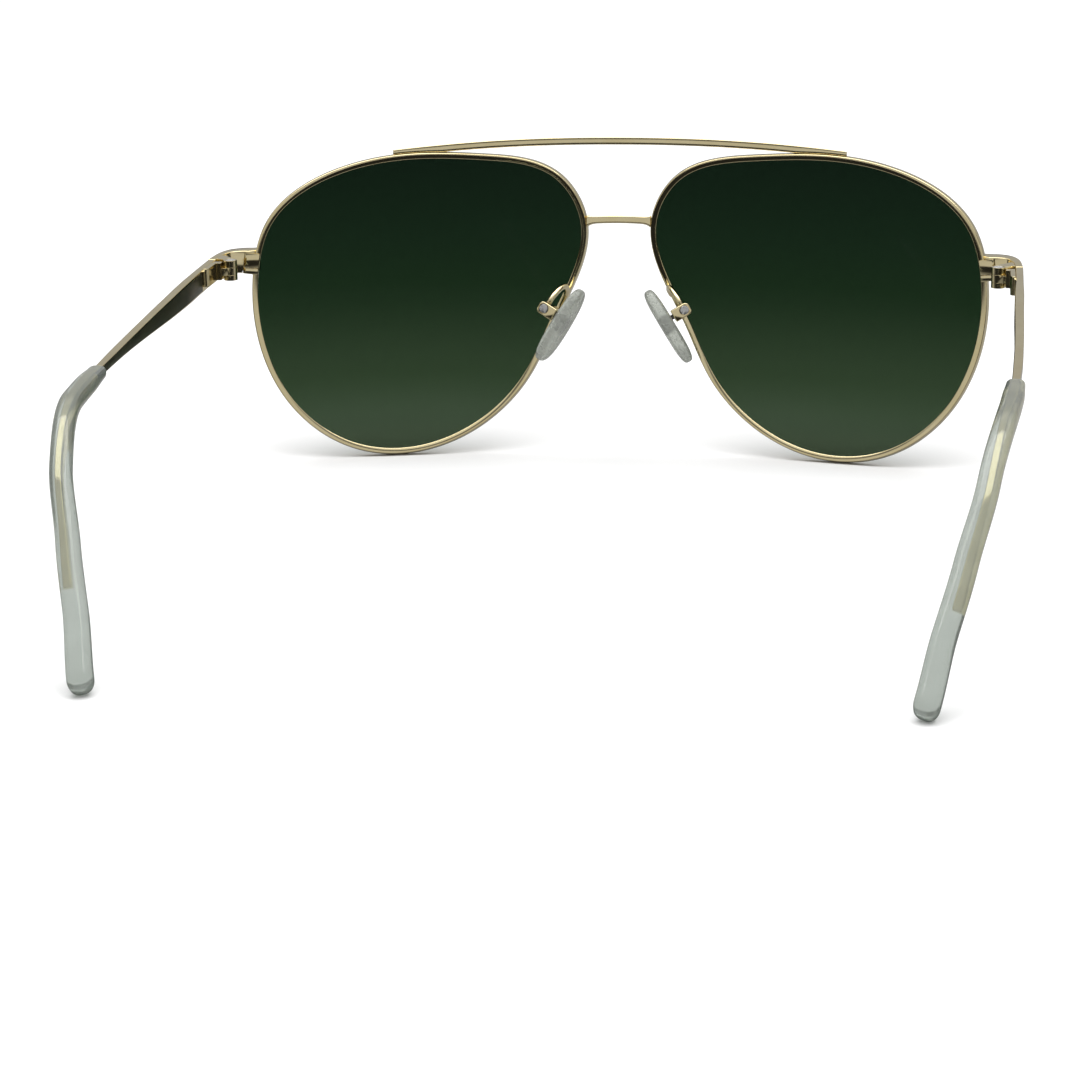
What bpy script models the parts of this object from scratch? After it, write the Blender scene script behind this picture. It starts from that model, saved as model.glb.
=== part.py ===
"""Aviator sunglasses with flex hinges: a model for Blender 4.5.

Frame: metres, +Z up, wearer looking along -Y, wearer's left at +X.
The glasses stand open on the rim bottoms and the temple tips at Z = 0.
Lengths below are millimetres; MM turns them into metres.
"""
import math

import bmesh
import bpy
import numpy as np
from mathutils import Vector

MM = 0.001

# Driving sizes
LENS_WIDTH = 58.0
BRIDGE_WIDTH = 12.0
TEMPLE_LENGTH = 140.0
LENS_CENTRE_X = (LENS_WIDTH + BRIDGE_WIDTH) / 2

# Front: how it leans, wraps and curves
LEAN = math.radians(9.6)
WRAP_SLOPE = math.tan(math.radians(8.1))
LENS_RADIUS = 77.0
FRONT_Y = -69.93
FRONT_Z = 24.175

# Rim outline about the lens centre: u outward from the nose, v up.
# The first point is the seam, where the rim is cut and screwed together.
RIM_OUTLINE = (
    (29.0, 8.0), (26.7, 15.9), (9.2, 27.0), (-11.2, 28.1), (-24.7, 24.6), (-29.1, 17.3),
    (-23.4, -1.4), (-18.9, -10.8), (-0.5, -24.2), (12.2, -23.7), (22.8, -16.2),
)
RIM_STATIONS = 64
RIM_WIDTH = 1.0
RIM_DEPTH = 1.8
RIM_BEVEL = 0.25
GROOVE_FLOOR = 0.36
GROOVE_HALF = 0.5
RIM_CUT = 0.12
LENS_THICKNESS = 1.6

# Closing block on the seam
BLOCK_UPPER = 2.6
BLOCK_LOWER = 1.1
BLOCK_WIDTH = 1.75
BLOCK_FLANGE = 0.35
SEAM_GAP = 0.08
FIT_GAP = 0.06
LOCK_SCREW_R = 0.4
LOCK_HEAD_R = 0.62
LOCK_HEAD_H = 0.45

# Brow bar and bridge
BAR_HALF = 39.8
BAR_TOP = 31.25
BAR_DROP = 2.4
BAR_HEIGHT = 1.3
BAR_DEPTH = 1.4
BRIDGE_HALF = 5.42
BRIDGE_V = 16.95
BRIDGE_HEIGHT = 1.35
BRIDGE_FLARE = 0.5
BRIDGE_DEPTH = 1.3

# Hinge: pin axis and knuckle heights, measured from the front's origin
HINGE_X = 66.05
HINGE_Y = 16.6
HINGE_Z = 10.8
KNUCKLE_R = 1.2
KNUCKLE_LEVELS = (9.05, 10.02, 11.32, 12.55)
KNUCKLE_GAP = 0.04
PIN_R = 0.5
PIN_HEAD_R = 0.85
PIN_HEAD_H = 0.35
END_PIECE_BACK = 15.95

# Spring box on the temple's inner face
BOX_X = (68.02, 68.84)
BOX_Y = (18.6, 24.3)
BOX_Z = (9.2, 12.4)
BOX_BACK = 69.32
BOX_BACK_Z = (9.52, 12.08)
POCKET_X = 69.38
POCKET_Z = (9.46, 12.14)
CAVITY_X = (68.27, 69.09)
CAVITY_Y_END = 23.95
CAVITY_Z = (9.9, 11.7)
SHOULDER_X = (67.3, 68.82)
ROD_X = 68.68
ROD_R = 0.19
ROD_START = 19.5
ROD_END = 23.6
ROD_HEAD = (23.15, 0.35)
STOP_Y = (20.05, 20.45)
HINGE_TRAVEL = 0.8
SPRING_WIRE_R = 0.06
SPRING_R = 0.29
SPRING_TURNS = 5

# Temple: path along its length, inset of the tip, section sizes
TEMPLE_START = 16.05
TEMPLE_X = 69.53
TEMPLE_SLOPE = math.radians(1.3)
BEND_START = 89.0
BEND_RADIUS = 24.0
BEND_ANGLE = math.radians(49.8)
TIP_INSET = 11.9
SETTLE = (9.0, 30.0)
SETTLE_INSET = 0.2
INSET_POWER = 3.4
TEMPLE_DROP = 0.3
DROP_END = 60.0
INSET_START = 20.0
SLEEVE_START = 72.0
CORE_END = 125.0
CORE_GAP = 0.1

# Nose pads: screw position, pad size
PAD_SCREW = (12.2, 7.0, 2.6)
PAD_TILT = math.radians(31.4)
PAD_SPLAY = math.radians(12.0)
PAD_LENGTH = 14.4
PAD_WIDTH = 7.6
PAD_THICKNESS = 2.5
PAD_OFFSET = 3.85
PAD_SHIFT = -1.0
PAD_ARM_R = 0.5

GOLD = (0.80, 0.66, 0.42)
SILVER = (0.75, 0.75, 0.75)
LENS_GREEN = (0.02, 0.05, 0.03)
SILICONE = (0.72, 0.77, 0.74)
TIP_CLEAR = (0.66, 0.72, 0.68)
DARK = (0.06, 0.06, 0.06)


# ---------------------------------------------------------------- scene helpers

def clear_scene():
    for obj in list(bpy.data.objects):
        bpy.data.objects.remove(obj, do_unlink=True)


def material(name, colour, metallic, roughness, transmission=0.0):
    mat = bpy.data.materials.get(name)
    if mat:
        return mat
    mat = bpy.data.materials.new(name)
    mat.use_nodes = True
    shader = mat.node_tree.nodes["Principled BSDF"]
    shader.inputs["Base Color"].default_value = (*colour, 1.0)
    shader.inputs["Metallic"].default_value = metallic
    shader.inputs["Roughness"].default_value = roughness
    shader.inputs["Transmission Weight"].default_value = transmission
    mat.diffuse_color = (*colour, 1.0)
    return mat


def empty(name, location, parent=None):
    obj = bpy.data.objects.new(name, None)
    bpy.context.collection.objects.link(obj)
    obj.parent = parent
    offset = parent.matrix_world.translation if parent else Vector()
    obj.location = Vector(location) * MM - offset
    bpy.context.view_layer.update()
    return obj


def add_object(name, bm, mat, parent):
    """Put a bmesh given in world millimetres under its parent empty."""
    bmesh.ops.remove_doubles(bm, verts=bm.verts, dist=1e-4)
    bmesh.ops.recalc_face_normals(bm, faces=bm.faces)
    bmesh.ops.triangulate(bm, faces=bm.faces)
    origin = parent.matrix_world.translation
    for vert in bm.verts:
        vert.co = vert.co * MM - origin
    mesh = bpy.data.meshes.new(name)
    bm.to_mesh(mesh)
    bm.free()
    mesh.materials.append(mat)
    mesh.shade_smooth()
    mesh.set_sharp_from_angle(angle=math.radians(35))
    obj = bpy.data.objects.new(name, mesh)
    bpy.context.collection.objects.link(obj)
    obj.parent = parent
    return obj


def boolean(obj, bm, name, operation="DIFFERENCE"):
    """Cut or join a bmesh in world millimetres; the tool object stays hidden."""
    tool = add_object(name, bm, material("guide", DARK, 0.0, 0.5), obj.parent)
    tool.hide_render = True
    tool.display_type = "WIRE"
    mod = obj.modifiers.new(name, "BOOLEAN")
    mod.operation = operation
    mod.object = tool
    mod.solver = "EXACT"


# ---------------------------------------------------------------- shape helpers

def loft(rings, cyclic=False, bm=None):
    """Skin a row of point rings; the end rings are capped unless cyclic."""
    bm = bm or bmesh.new()
    loops = [[bm.verts.new(p) for p in ring] for ring in rings]
    pairs = list(zip(loops, loops[1:]))
    if cyclic:
        pairs.append((loops[-1], loops[0]))
    count = len(loops[0])
    for low, high in pairs:
        for i in range(count):
            j = (i + 1) % count
            bm.faces.new((low[i], low[j], high[j], high[i]))
    if not cyclic:
        bm.faces.new(loops[0])
        bm.faces.new(loops[-1])
    return bm


def prism(outline, z_low, z_high, bm=None):
    return loft([[(x, y, z) for x, y in outline] for z in (z_low, z_high)], bm=bm)


def box(x, y, z, bm=None):
    outline = ((x[0], y[0]), (x[1], y[0]), (x[1], y[1]), (x[0], y[1]))
    return prism(outline, z[0], z[1], bm=bm)


def turned(profile, centre, axis, segments=16, bm=None):
    """Stack circles (distance along axis, radius) into a turned solid."""
    axis = Vector(axis).normalized()
    side = axis.orthogonal().normalized()
    other = axis.cross(side)
    rings = []
    for along, radius in profile:
        ring = []
        for i in range(segments):
            turn = math.tau * i / segments
            offset = side * math.cos(turn) + other * math.sin(turn)
            ring.append(Vector(centre) + axis * along + offset * radius)
        rings.append(ring)
    return loft(rings, bm=bm)


def mirrored(bm, side):
    """Flip a bmesh built for the wearer's left (+X) to the given side."""
    for vert in bm.verts:
        vert.co.x *= side
    return bm


def placed(bm):
    """Move a bmesh from the front's own origin to its place in the world."""
    for vert in bm.verts:
        vert.co.y += FRONT_Y
        vert.co.z += FRONT_Z
    return bm


def finish(name, bm, mat, parent, side=1):
    return add_object(name, placed(mirrored(bm, side)), mat, parent)


def finish_cut(obj, bm, name, side=1, operation="DIFFERENCE"):
    boolean(obj, placed(mirrored(bm, side)), name, operation)


def closed_spline(points, count):
    """Periodic cubic spline through 2-D points, sampled evenly in its parameter."""
    pts = np.array(points)
    closed = np.vstack([pts, pts[:1]])
    knots = np.concatenate([[0.0], np.cumsum(np.linalg.norm(np.diff(closed, axis=0), axis=1))])
    h = np.diff(knots)
    n = len(pts)
    system = np.zeros((n, n))
    right = np.zeros((n, 2))
    for i in range(n):
        before, after = h[i - 1], h[i]
        system[i, i - 1] += before
        system[i, i] += 2 * (before + after)
        system[i, (i + 1) % n] += after
        right[i] = 6 * ((closed[i + 1] - pts[i]) / after - (pts[i] - pts[i - 1]) / before)
    bend = np.linalg.solve(system, right)
    bend = np.vstack([bend, bend[:1]])
    out = []
    for t in np.linspace(0, knots[-1], count, endpoint=False):
        i = min(int(np.searchsorted(knots, t, side="right")) - 1, n - 1)
        a = (knots[i + 1] - t) / h[i]
        b = 1 - a
        point = a * closed[i] + b * closed[i + 1]
        point += ((a**3 - a) * bend[i] + (b**3 - b) * bend[i + 1]) * h[i] ** 2 / 6
        out.append(point)
    return np.array(out)


# ---------------------------------------------------------------- front geometry

def front_depth(u, v):
    """Depth of the rim's rear face behind the front's origin."""
    return WRAP_SLOPE * u + (u * u + v * v) / (2 * LENS_RADIUS)


def front_point(across, v, w):
    """Front coordinates (across from the centre line, up, back) to millimetres."""
    y = w * math.cos(LEAN) - v * math.sin(LEAN)
    z = v * math.cos(LEAN) + w * math.sin(LEAN)
    return Vector((across, y, z))


def surface_back(u, v):
    """Direction through the rim's depth, halfway between straight and radial."""
    radial = Vector((-(WRAP_SLOPE + u / LENS_RADIUS), -v / LENS_RADIUS, 1)).normalized()
    return (radial + Vector((0, 0, 1))).normalized()


class RimFrame:
    """Middle of the rim's outer face and its local directions at one station."""

    def __init__(self, before, here, after):
        tangent = after - before
        u, v = here
        back = surface_back(u, v)
        along = Vector((tangent[0], tangent[1], 0))
        along.z = front_depth(*after) - front_depth(*before)
        along.normalize()
        self.out = along.cross(back).normalized()
        self.back = back
        self.along = along
        self.base = Vector((u, v, front_depth(u, v))) - back * (RIM_DEPTH / 2)

    def point(self, out, back, along=0.0):
        local = self.base + self.out * out + self.back * back + self.along * along
        return front_point(LENS_CENTRE_X + local.x, local.y, local.z)


def rim_frames():
    pts = closed_spline(RIM_OUTLINE, RIM_STATIONS)
    count = len(pts)
    return [RimFrame(pts[i - 1], pts[i], pts[(i + 1) % count]) for i in range(count)]


FRAMES = rim_frames()
SEAM = FRAMES[0]


def make_rim(side, parent, mat):
    half = RIM_DEPTH / 2
    profile = (
        (-RIM_BEVEL, half), (0, half - RIM_BEVEL), (0, -half + RIM_BEVEL), (-RIM_BEVEL, -half),
        (-RIM_WIDTH, -half), (-RIM_WIDTH, -GROOVE_HALF), (-GROOVE_FLOOR, 0),
        (-RIM_WIDTH, GROOVE_HALF), (-RIM_WIDTH, half),
    )
    rings = [[SEAM.point(n, d, RIM_CUT) for n, d in profile]]
    rings += [[frame.point(n, d) for n, d in profile] for frame in FRAMES[1:]]
    rings += [[SEAM.point(n, d, -RIM_CUT) for n, d in profile]]
    return finish(f"rim_{side_name(side)}", loft(rings), mat, parent, side)


def make_lens(side, parent, mat):
    edge = RIM_WIDTH + 0.12
    half = LENS_THICKNESS / 2
    vee = 0.38
    lip = [(-edge, half), (-edge, vee), (-GROOVE_FLOOR - 0.1, 0), (-edge, -vee), (-edge, -half)]
    bm = bmesh.new()
    loops = [[bm.verts.new(f.point(n, d)) for f in FRAMES] for n, d in lip]
    rings_in = []
    for back in (half, -half):
        inner = []
        for share in (0.72, 0.38):
            ring = []
            for frame in FRAMES:
                local = frame.base + frame.out * -edge
                u, v = local.x * share, local.y * share
                straight = Vector((u, v, front_depth(u, v)))
                straight -= surface_back(u, v) * (RIM_DEPTH / 2 - back)
                ring.append(bm.verts.new(front_point(LENS_CENTRE_X + straight.x, *straight.yz)))
            inner.append(ring)
        middle = bm.verts.new(front_point(LENS_CENTRE_X, 0, back - RIM_DEPTH / 2))
        rings_in.append((inner, middle))
    count = len(FRAMES)
    rear, front = rings_in
    strips = [*zip(loops, loops[1:]), (loops[0], rear[0][0]), (rear[0][0], rear[0][1]),
              (loops[-1], front[0][0]), (front[0][0], front[0][1])]
    for low, high in strips:
        for i in range(count):
            j = (i + 1) % count
            bm.faces.new((low[i], low[j], high[j], high[i]))
    for inner, middle in rings_in:
        for i in range(count):
            bm.faces.new((inner[1][i], inner[1][(i + 1) % count], middle))
    return finish(f"lens_{side_name(side)}", bm, mat, parent, side)


def block_outline(grow=0.0):
    """L-shaped section of the closing block in rim directions (out, back)."""
    rear = RIM_DEPTH / 2 + 2 * FIT_GAP
    front = -RIM_DEPTH / 2
    return (
        (-0.85 - grow, rear + BLOCK_FLANGE + grow), (-0.85 - grow, rear),
        (FIT_GAP, rear), (FIT_GAP, front - grow),
        (BLOCK_WIDTH + grow, front - grow), (BLOCK_WIDTH + grow, rear + BLOCK_FLANGE + grow),
    )


def seam_prism(outline, low, high):
    return loft([[SEAM.point(n, d, t) for n, d in outline] for t in (low, high)])


def lock_axis():
    centre = ((BLOCK_WIDTH + FIT_GAP) / 2, 0.1)
    foot = SEAM.point(*centre, -BLOCK_LOWER)
    axis = (SEAM.point(*centre, BLOCK_UPPER) - foot).normalized()
    return foot, axis


def make_rim_lock(side, parent, gold, silver):
    name = side_name(side)
    half_gap = SEAM_GAP / 2
    foot, axis = lock_axis()
    total = BLOCK_UPPER + BLOCK_LOWER
    upper = seam_prism(block_outline(), half_gap, BLOCK_UPPER)
    upper = finish(f"rim_lock_upper_{name}", upper, gold, parent, side)
    bore = turned(((-0.5, LOCK_SCREW_R + 0.05), (total - 0.55, LOCK_SCREW_R + 0.05)), foot, axis)
    finish_cut(upper, bore, f"lock_thread_{name}", side)
    lower = seam_prism(block_outline(), -BLOCK_LOWER, -half_gap)
    lower = finish(f"rim_lock_lower_{name}", lower, gold, parent, side)
    bore = turned(((-0.5, LOCK_HEAD_R + 0.06), (LOCK_HEAD_H + 0.06, LOCK_HEAD_R + 0.06),
                   (LOCK_HEAD_H + 0.06, LOCK_SCREW_R + 0.08), (total, LOCK_SCREW_R + 0.08)),
                  foot, axis)
    finish_cut(lower, bore, f"lock_clearance_{name}", side)
    screw = turned(((0.02, LOCK_HEAD_R), (LOCK_HEAD_H, LOCK_HEAD_R), (LOCK_HEAD_H, LOCK_SCREW_R),
                    (total - 0.7, LOCK_SCREW_R)), foot, axis)
    screw = finish(f"rim_lock_screw_{name}", screw, silver, parent, side)
    slot = slot_cutter(foot, axis, LOCK_HEAD_R, 0.2, 0.2)
    finish_cut(screw, slot, f"lock_slot_{name}", side)


def slot_cutter(centre, axis, radius, width, depth):
    """A bar across a screw head that faces against the axis."""
    axis = Vector(axis).normalized()
    across = axis.cross(Vector((0.3, 0.7, 0.2))).normalized()
    other = axis.cross(across)
    reach = radius * 1.3
    rings = []
    for along in (-0.3, depth):
        base = Vector(centre) + axis * along
        rings.append([base + across * reach * a + other * width / 2 * b
                      for a, b in ((-1, -1), (1, -1), (1, 1), (-1, 1))])
    return loft(rings)


def make_brow_bar(parent, mat):
    rings = []
    for i in range(41):
        across = BAR_HALF * math.sin(math.radians(90) * (i - 20) / 20)
        reach = abs(across) / 40
        top = BAR_TOP - BAR_DROP * reach**2.2
        depth = 3.4 + 1.5 * reach**6
        bottom = max(top - BAR_HEIGHT, rim_top(abs(across) - LENS_CENTRE_X) + 0.26)
        bevel = 0.3
        front, rear = depth - BAR_DEPTH / 2, depth + BAR_DEPTH / 2
        section = ((bottom, front), (bottom, rear), (top - bevel, rear), (top, rear - bevel),
                   (top, front + bevel), (top - bevel, front))
        rings.append([front_point(across, v, w) for v, w in section])
    return finish("brow_bar", loft(rings), mat, parent)


def rim_top(u):
    """Height of the rim's outer outline above u, or far below off the rim."""
    pts = [f.base for f in FRAMES if f.base.y > 20]
    pts.sort(key=lambda p: p.x)
    if not pts[0].x < u < pts[-1].x:
        return -100.0
    return float(np.interp(u, [p.x for p in pts], [p.y for p in pts]))


def make_bridge(parent, mat):
    rings = []
    depth = 2.4
    for i in range(15):
        across = BRIDGE_HALF * math.sin(math.radians(90) * (i - 7) / 7)
        reach = abs(across) / BRIDGE_HALF
        half = BRIDGE_HEIGHT / 2 + BRIDGE_FLARE * reach**10
        middle = BRIDGE_V - 0.2 * reach**2 - 0.15 * reach**10
        thick = BRIDGE_DEPTH / 2 + 0.1 * reach**10
        ring = []
        for k in range(10):
            turn = math.tau * (k + 0.5) / 10
            ring.append(front_point(across, middle + half * math.sin(turn) * 1.03,
                                    depth + thick * math.cos(turn)))
        rings.append(ring)
    return finish("bridge", loft(rings), mat, parent)


# ---------------------------------------------------------------- end piece, hinge

END_OUTER = ((64.6, 5.6), (66.4, 5.9), (68.0, 7.0), (69.15, 8.9), (69.8, 11.6), (70.16, 15.95))
END_INNER = ((68.86, 15.95), (68.62, 12.4), (68.1, 10.6), (67.2, 9.4), (65.6, 8.9), (64.6, 8.9))


def make_end_piece(side, parent, mat):
    name = side_name(side)
    outline = END_OUTER + END_INNER
    rings = []
    for z_front, z_back in ((8.75, 9.12), (12.65, 12.48)):
        ring = []
        for x, y in outline:
            forward = min(1.0, (END_PIECE_BACK - y) / 8.0)
            z = z_back + (z_front - z_back) * forward
            shift = -math.tan(LEAN) * (z - HINGE_Z) * forward
            ring.append((x, y + shift, z))
        rings.append(ring)
    obj = finish(f"end_piece_{name}", loft(rings), mat, parent, side)
    rear = RIM_DEPTH / 2 + 2 * FIT_GAP + BLOCK_FLANGE
    front = -RIM_DEPTH / 2 - 0.3
    cradle = ((-4, 4), (-4, front), (BLOCK_WIDTH + FIT_GAP, front), (BLOCK_WIDTH + FIT_GAP, rear + 2))
    finish_cut(obj, seam_prism(cradle, -5, 7), f"end_cradle_{name}", side)
    return obj


def hinge_turned(profile, radius_segments=20):
    return turned(profile, (HINGE_X, HINGE_Y, 0), (0, 0, 1), radius_segments)


def round_leg(points, first, last, steps=12):
    """Outline around the knuckle from one angle to another, closed by leg points."""
    arc = []
    for i in range(steps + 1):
        turn = math.radians(first + (last - first) * i / steps)
        arc.append((HINGE_X + KNUCKLE_R * math.cos(turn), HINGE_Y + KNUCKLE_R * math.sin(turn)))
    return arc + list(points)


def make_front_hinge(side, parent, mat):
    name = side_name(side)
    low, mid_low, mid_high, high = KNUCKLE_LEVELS
    leg = round_leg(((67.9, 12.6), (68.55, 12.6), (68.78, 15.4)), -15, 250)
    obj = finish(f"front_hinge_{name}", prism(leg, low, high), mat, parent, side)
    bore_r, slot_r, head_r = PIN_R + 0.03, 1.45, PIN_HEAD_R + 0.04
    slot_low, slot_high = mid_low - KNUCKLE_GAP, mid_high + KNUCKLE_GAP
    seat = high - PIN_HEAD_H - 0.03
    bore = hinge_turned(((low - 1, bore_r), (slot_low, bore_r), (slot_low, slot_r),
                         (slot_high, slot_r), (slot_high, bore_r), (seat, bore_r),
                         (seat, head_r), (high + 1, head_r)), 24)
    finish_cut(obj, bore, f"hinge_bore_{name}", side)
    return obj


def make_hinge_screw(side, parent, mat):
    name = side_name(side)
    low, high = KNUCKLE_LEVELS[0], KNUCKLE_LEVELS[-1]
    profile = ((low + 0.05, PIN_R), (high - PIN_HEAD_H, PIN_R), (high - PIN_HEAD_H, PIN_HEAD_R),
               (high, PIN_HEAD_R))
    obj = finish(f"hinge_screw_{name}", hinge_turned(profile), mat, parent, side)
    slot = slot_cutter((HINGE_X, HINGE_Y, high), (0, 0, -1), PIN_HEAD_R, 0.25, 0.18)
    finish_cut(obj, slot, f"hinge_screw_slot_{name}", side)
    return obj


def make_slider(side, parent, mat):
    name = side_name(side)
    mid_low, mid_high = KNUCKLE_LEVELS[1], KNUCKLE_LEVELS[2]
    leg = round_leg(((67.6, 16.95), (67.6, 18.3), (66.9, 18.3)), 80, 340)
    bm = prism(leg, mid_low, mid_high)
    obj = finish(f"hinge_slider_{name}", bm, mat, parent, side)
    bore = hinge_turned(((mid_low - 1, PIN_R + 0.03), (mid_high + 1, PIN_R + 0.03)))
    finish_cut(obj, bore, f"slider_bore_{name}", side)
    shoulder = box(SHOULDER_X, (16.98, BOX_Y[0] - 0.08), (9.3, 12.3))
    finish_cut(obj, shoulder, f"slider_shoulder_{name}", side, "UNION")
    tongue = box((CAVITY_X[0] + 0.06, CAVITY_X[1] - 0.06), (18.2, ROD_START + 0.3), (9.98, 11.62))
    finish_cut(obj, tongue, f"slider_tongue_{name}", side, "UNION")
    head_start, head_r = ROD_HEAD
    rod = turned(((ROD_START, ROD_R), (head_start, ROD_R), (head_start, head_r), (ROD_END, head_r)),
                 (ROD_X, 0, HINGE_Z), (0, 1, 0), 10)
    finish_cut(obj, rod, f"slider_rod_{name}", side, "UNION")
    return obj


def make_spring_box(side, parent, mat):
    name = side_name(side)
    front, back = BOX_Y
    outline = ((BOX_X[0], front), (BOX_X[1], front), (BOX_X[1], back), (BOX_X[0] + 0.3, back),
               (BOX_X[0], back - 0.6))
    obj = finish(f"spring_box_{name}", prism(outline, *BOX_Z), mat, parent, side)
    root = box((BOX_X[1] - 0.2, BOX_BACK), (front, back + 0.5), BOX_BACK_Z)
    finish_cut(obj, root, f"box_root_{name}", side, "UNION")
    cavity = box(CAVITY_X, (BOX_Y[0] - 1, CAVITY_Y_END), CAVITY_Z)
    finish_cut(obj, cavity, f"spring_cavity_{name}", side)
    return obj


def make_spring_stop(side, parent, mat):
    name = side_name(side)
    stop = box((CAVITY_X[0] + 0.03, CAVITY_X[1] - 0.03), STOP_Y,
               (CAVITY_Z[0] + 0.03, CAVITY_Z[1] - 0.03))
    obj = finish(f"spring_stop_{name}", stop, mat, parent, side)
    bore = turned(((STOP_Y[0] - 1, ROD_R + 0.04), (STOP_Y[1] + 1, ROD_R + 0.04)),
                  (ROD_X, 0, HINGE_Z), (0, 1, 0), 10)
    finish_cut(obj, bore, f"stop_bore_{name}", side)
    return obj


def make_hinge_spring(side, parent, mat):
    """Coil around the slider's rod, between the stop and the rod's head."""
    start = STOP_Y[1] + HINGE_TRAVEL + 0.15
    length = ROD_HEAD[0] - 0.1 - start
    per_turn = 10
    steps = SPRING_TURNS * per_turn
    rings = []
    for i in range(steps + 1):
        turn = math.tau * i / per_turn
        centre = Vector((ROD_X + SPRING_R * math.cos(turn),
                         start + length * i / steps, HINGE_Z + SPRING_R * math.sin(turn)))
        out = Vector((math.cos(turn), 0, math.sin(turn)))
        side_way = Vector((0, 1, 0))
        rings.append([centre + (out * math.cos(a) + side_way * math.sin(a)) * SPRING_WIRE_R
                      for a in (math.tau * k / 5 for k in range(5))])
    return finish(f"hinge_spring_{side_name(side)}", loft(rings), mat, parent, side)


# ---------------------------------------------------------------- temple and tip

def temple_inset(s):
    """How far the temple has come in toward the head at a length s behind the pin."""
    settle = min(1.0, max(0.0, (s - SETTLE[0]) / (SETTLE[1] - SETTLE[0])))
    reach = max(s - INSET_START, 0.0) / (TEMPLE_LENGTH - INSET_START)
    return SETTLE_INSET * settle + TIP_INSET * reach**INSET_POWER


class TempleFrame:
    """Centre and local directions of the temple at a length s behind the pin."""

    def __init__(self, s):
        first = min(s, BEND_START)
        turn = min(max(s - BEND_START, 0.0), BEND_RADIUS * BEND_ANGLE)
        last = max(s - BEND_START - BEND_RADIUS * BEND_ANGLE, 0.0)
        angle = TEMPLE_SLOPE + turn / BEND_RADIUS
        slope, end = TEMPLE_SLOPE, TEMPLE_SLOPE + BEND_ANGLE
        y = HINGE_Y + first * math.cos(slope)
        z = HINGE_Z - first * math.sin(slope) - TEMPLE_DROP * max(0.0, 1 - s / DROP_END)
        y += BEND_RADIUS * (math.sin(angle) - math.sin(slope)) + last * math.cos(end)
        z -= BEND_RADIUS * (math.cos(slope) - math.cos(angle)) + last * math.sin(end)
        inward = temple_inset(s + 0.5) - temple_inset(s - 0.5)
        self.centre = Vector((TEMPLE_X - temple_inset(s), y, z))
        self.along = Vector((-inward, math.cos(angle), -math.sin(angle))).normalized()
        self.across = self.along.cross(Vector((0, math.sin(angle), math.cos(angle)))).normalized()
        self.up = self.across.cross(self.along).normalized()

    def point(self, across, up):
        return self.centre + self.across * across + self.up * up


def blend(value, table):
    """Read a smooth curve through (position, size) pairs."""
    xs = [row[0] for row in table]
    ys = [row[1] for row in table]
    i = max(0, min(len(xs) - 2, int(np.searchsorted(xs, value)) - 1))
    share = min(1.0, max(0.0, (value - xs[i]) / (xs[i + 1] - xs[i])))
    share = share * share * (3 - 2 * share)
    return ys[i] + (ys[i + 1] - ys[i]) * share


TEMPLE_HEIGHT = ((0, 3.9), (10, 3.95), (72, 1.45), (126, 1.2))
CORE_THICKNESS = ((0, 1.3), (9, 1.3), (20, 1.55), (60, 1.4), (74, 1.2), (126, 1.0))
SLEEVE_HEIGHT = ((72, 2.2), (82, 3.0), (100, 3.3), (130, 3.8), (141, 4.0))
SLEEVE_THICKNESS = ((72, 2.8), (80, 3.2), (100, 3.2), (126, 3.5), (138, 3.7))
SLEEVE_INBOARD = ((72, 0.0), (88, 0.0), (112, 0.65), (126, 0.75), (141, 0.35))


def temple_section(frame, thickness, height, bevel):
    half_t, half_h = thickness / 2, height / 2
    corners = ((half_t - bevel, half_h), (half_t, half_h - bevel), (half_t, bevel - half_h),
               (half_t - bevel, -half_h), (bevel - half_t, -half_h), (-half_t, bevel - half_h),
               (-half_t, half_h - bevel), (bevel - half_t, half_h))
    return [frame.point(a, b) for a, b in corners]


def temple_stations():
    straight = [TEMPLE_START - HINGE_Y, 4, 12, 22, 32, 44, 56, 67.5, 78, BEND_START]
    bend = [BEND_START + BEND_RADIUS * BEND_ANGLE * k / 6 for k in range(1, 7)]
    return straight + bend + [115, 121, CORE_END]


def make_temple(side, parent, mat):
    rings = []
    for s in temple_stations():
        bevel = 0.25
        rings.append(temple_section(TempleFrame(s), blend(s, CORE_THICKNESS),
                                    blend(s, TEMPLE_HEIGHT), bevel))
    name = side_name(side)
    obj = finish(f"temple_{name}", loft(rings), mat, parent, side)
    pocket = box((BOX_X[0], POCKET_X), (TEMPLE_START - 1, BOX_Y[1] + 0.56), POCKET_Z)
    finish_cut(obj, pocket, f"temple_pocket_{name}", side)
    return obj


def sleeve_section(frame, thickness, height, inboard=0.0, count=14):
    ring = []
    for k in range(count):
        turn = math.tau * (k + 0.5) / count
        a, b = math.cos(turn), math.sin(turn)
        ring.append(frame.point(thickness / 2 * math.copysign(abs(a) ** 0.75, a) - inboard,
                                height / 2 * math.copysign(abs(b) ** 0.75, b)))
    return ring


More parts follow.
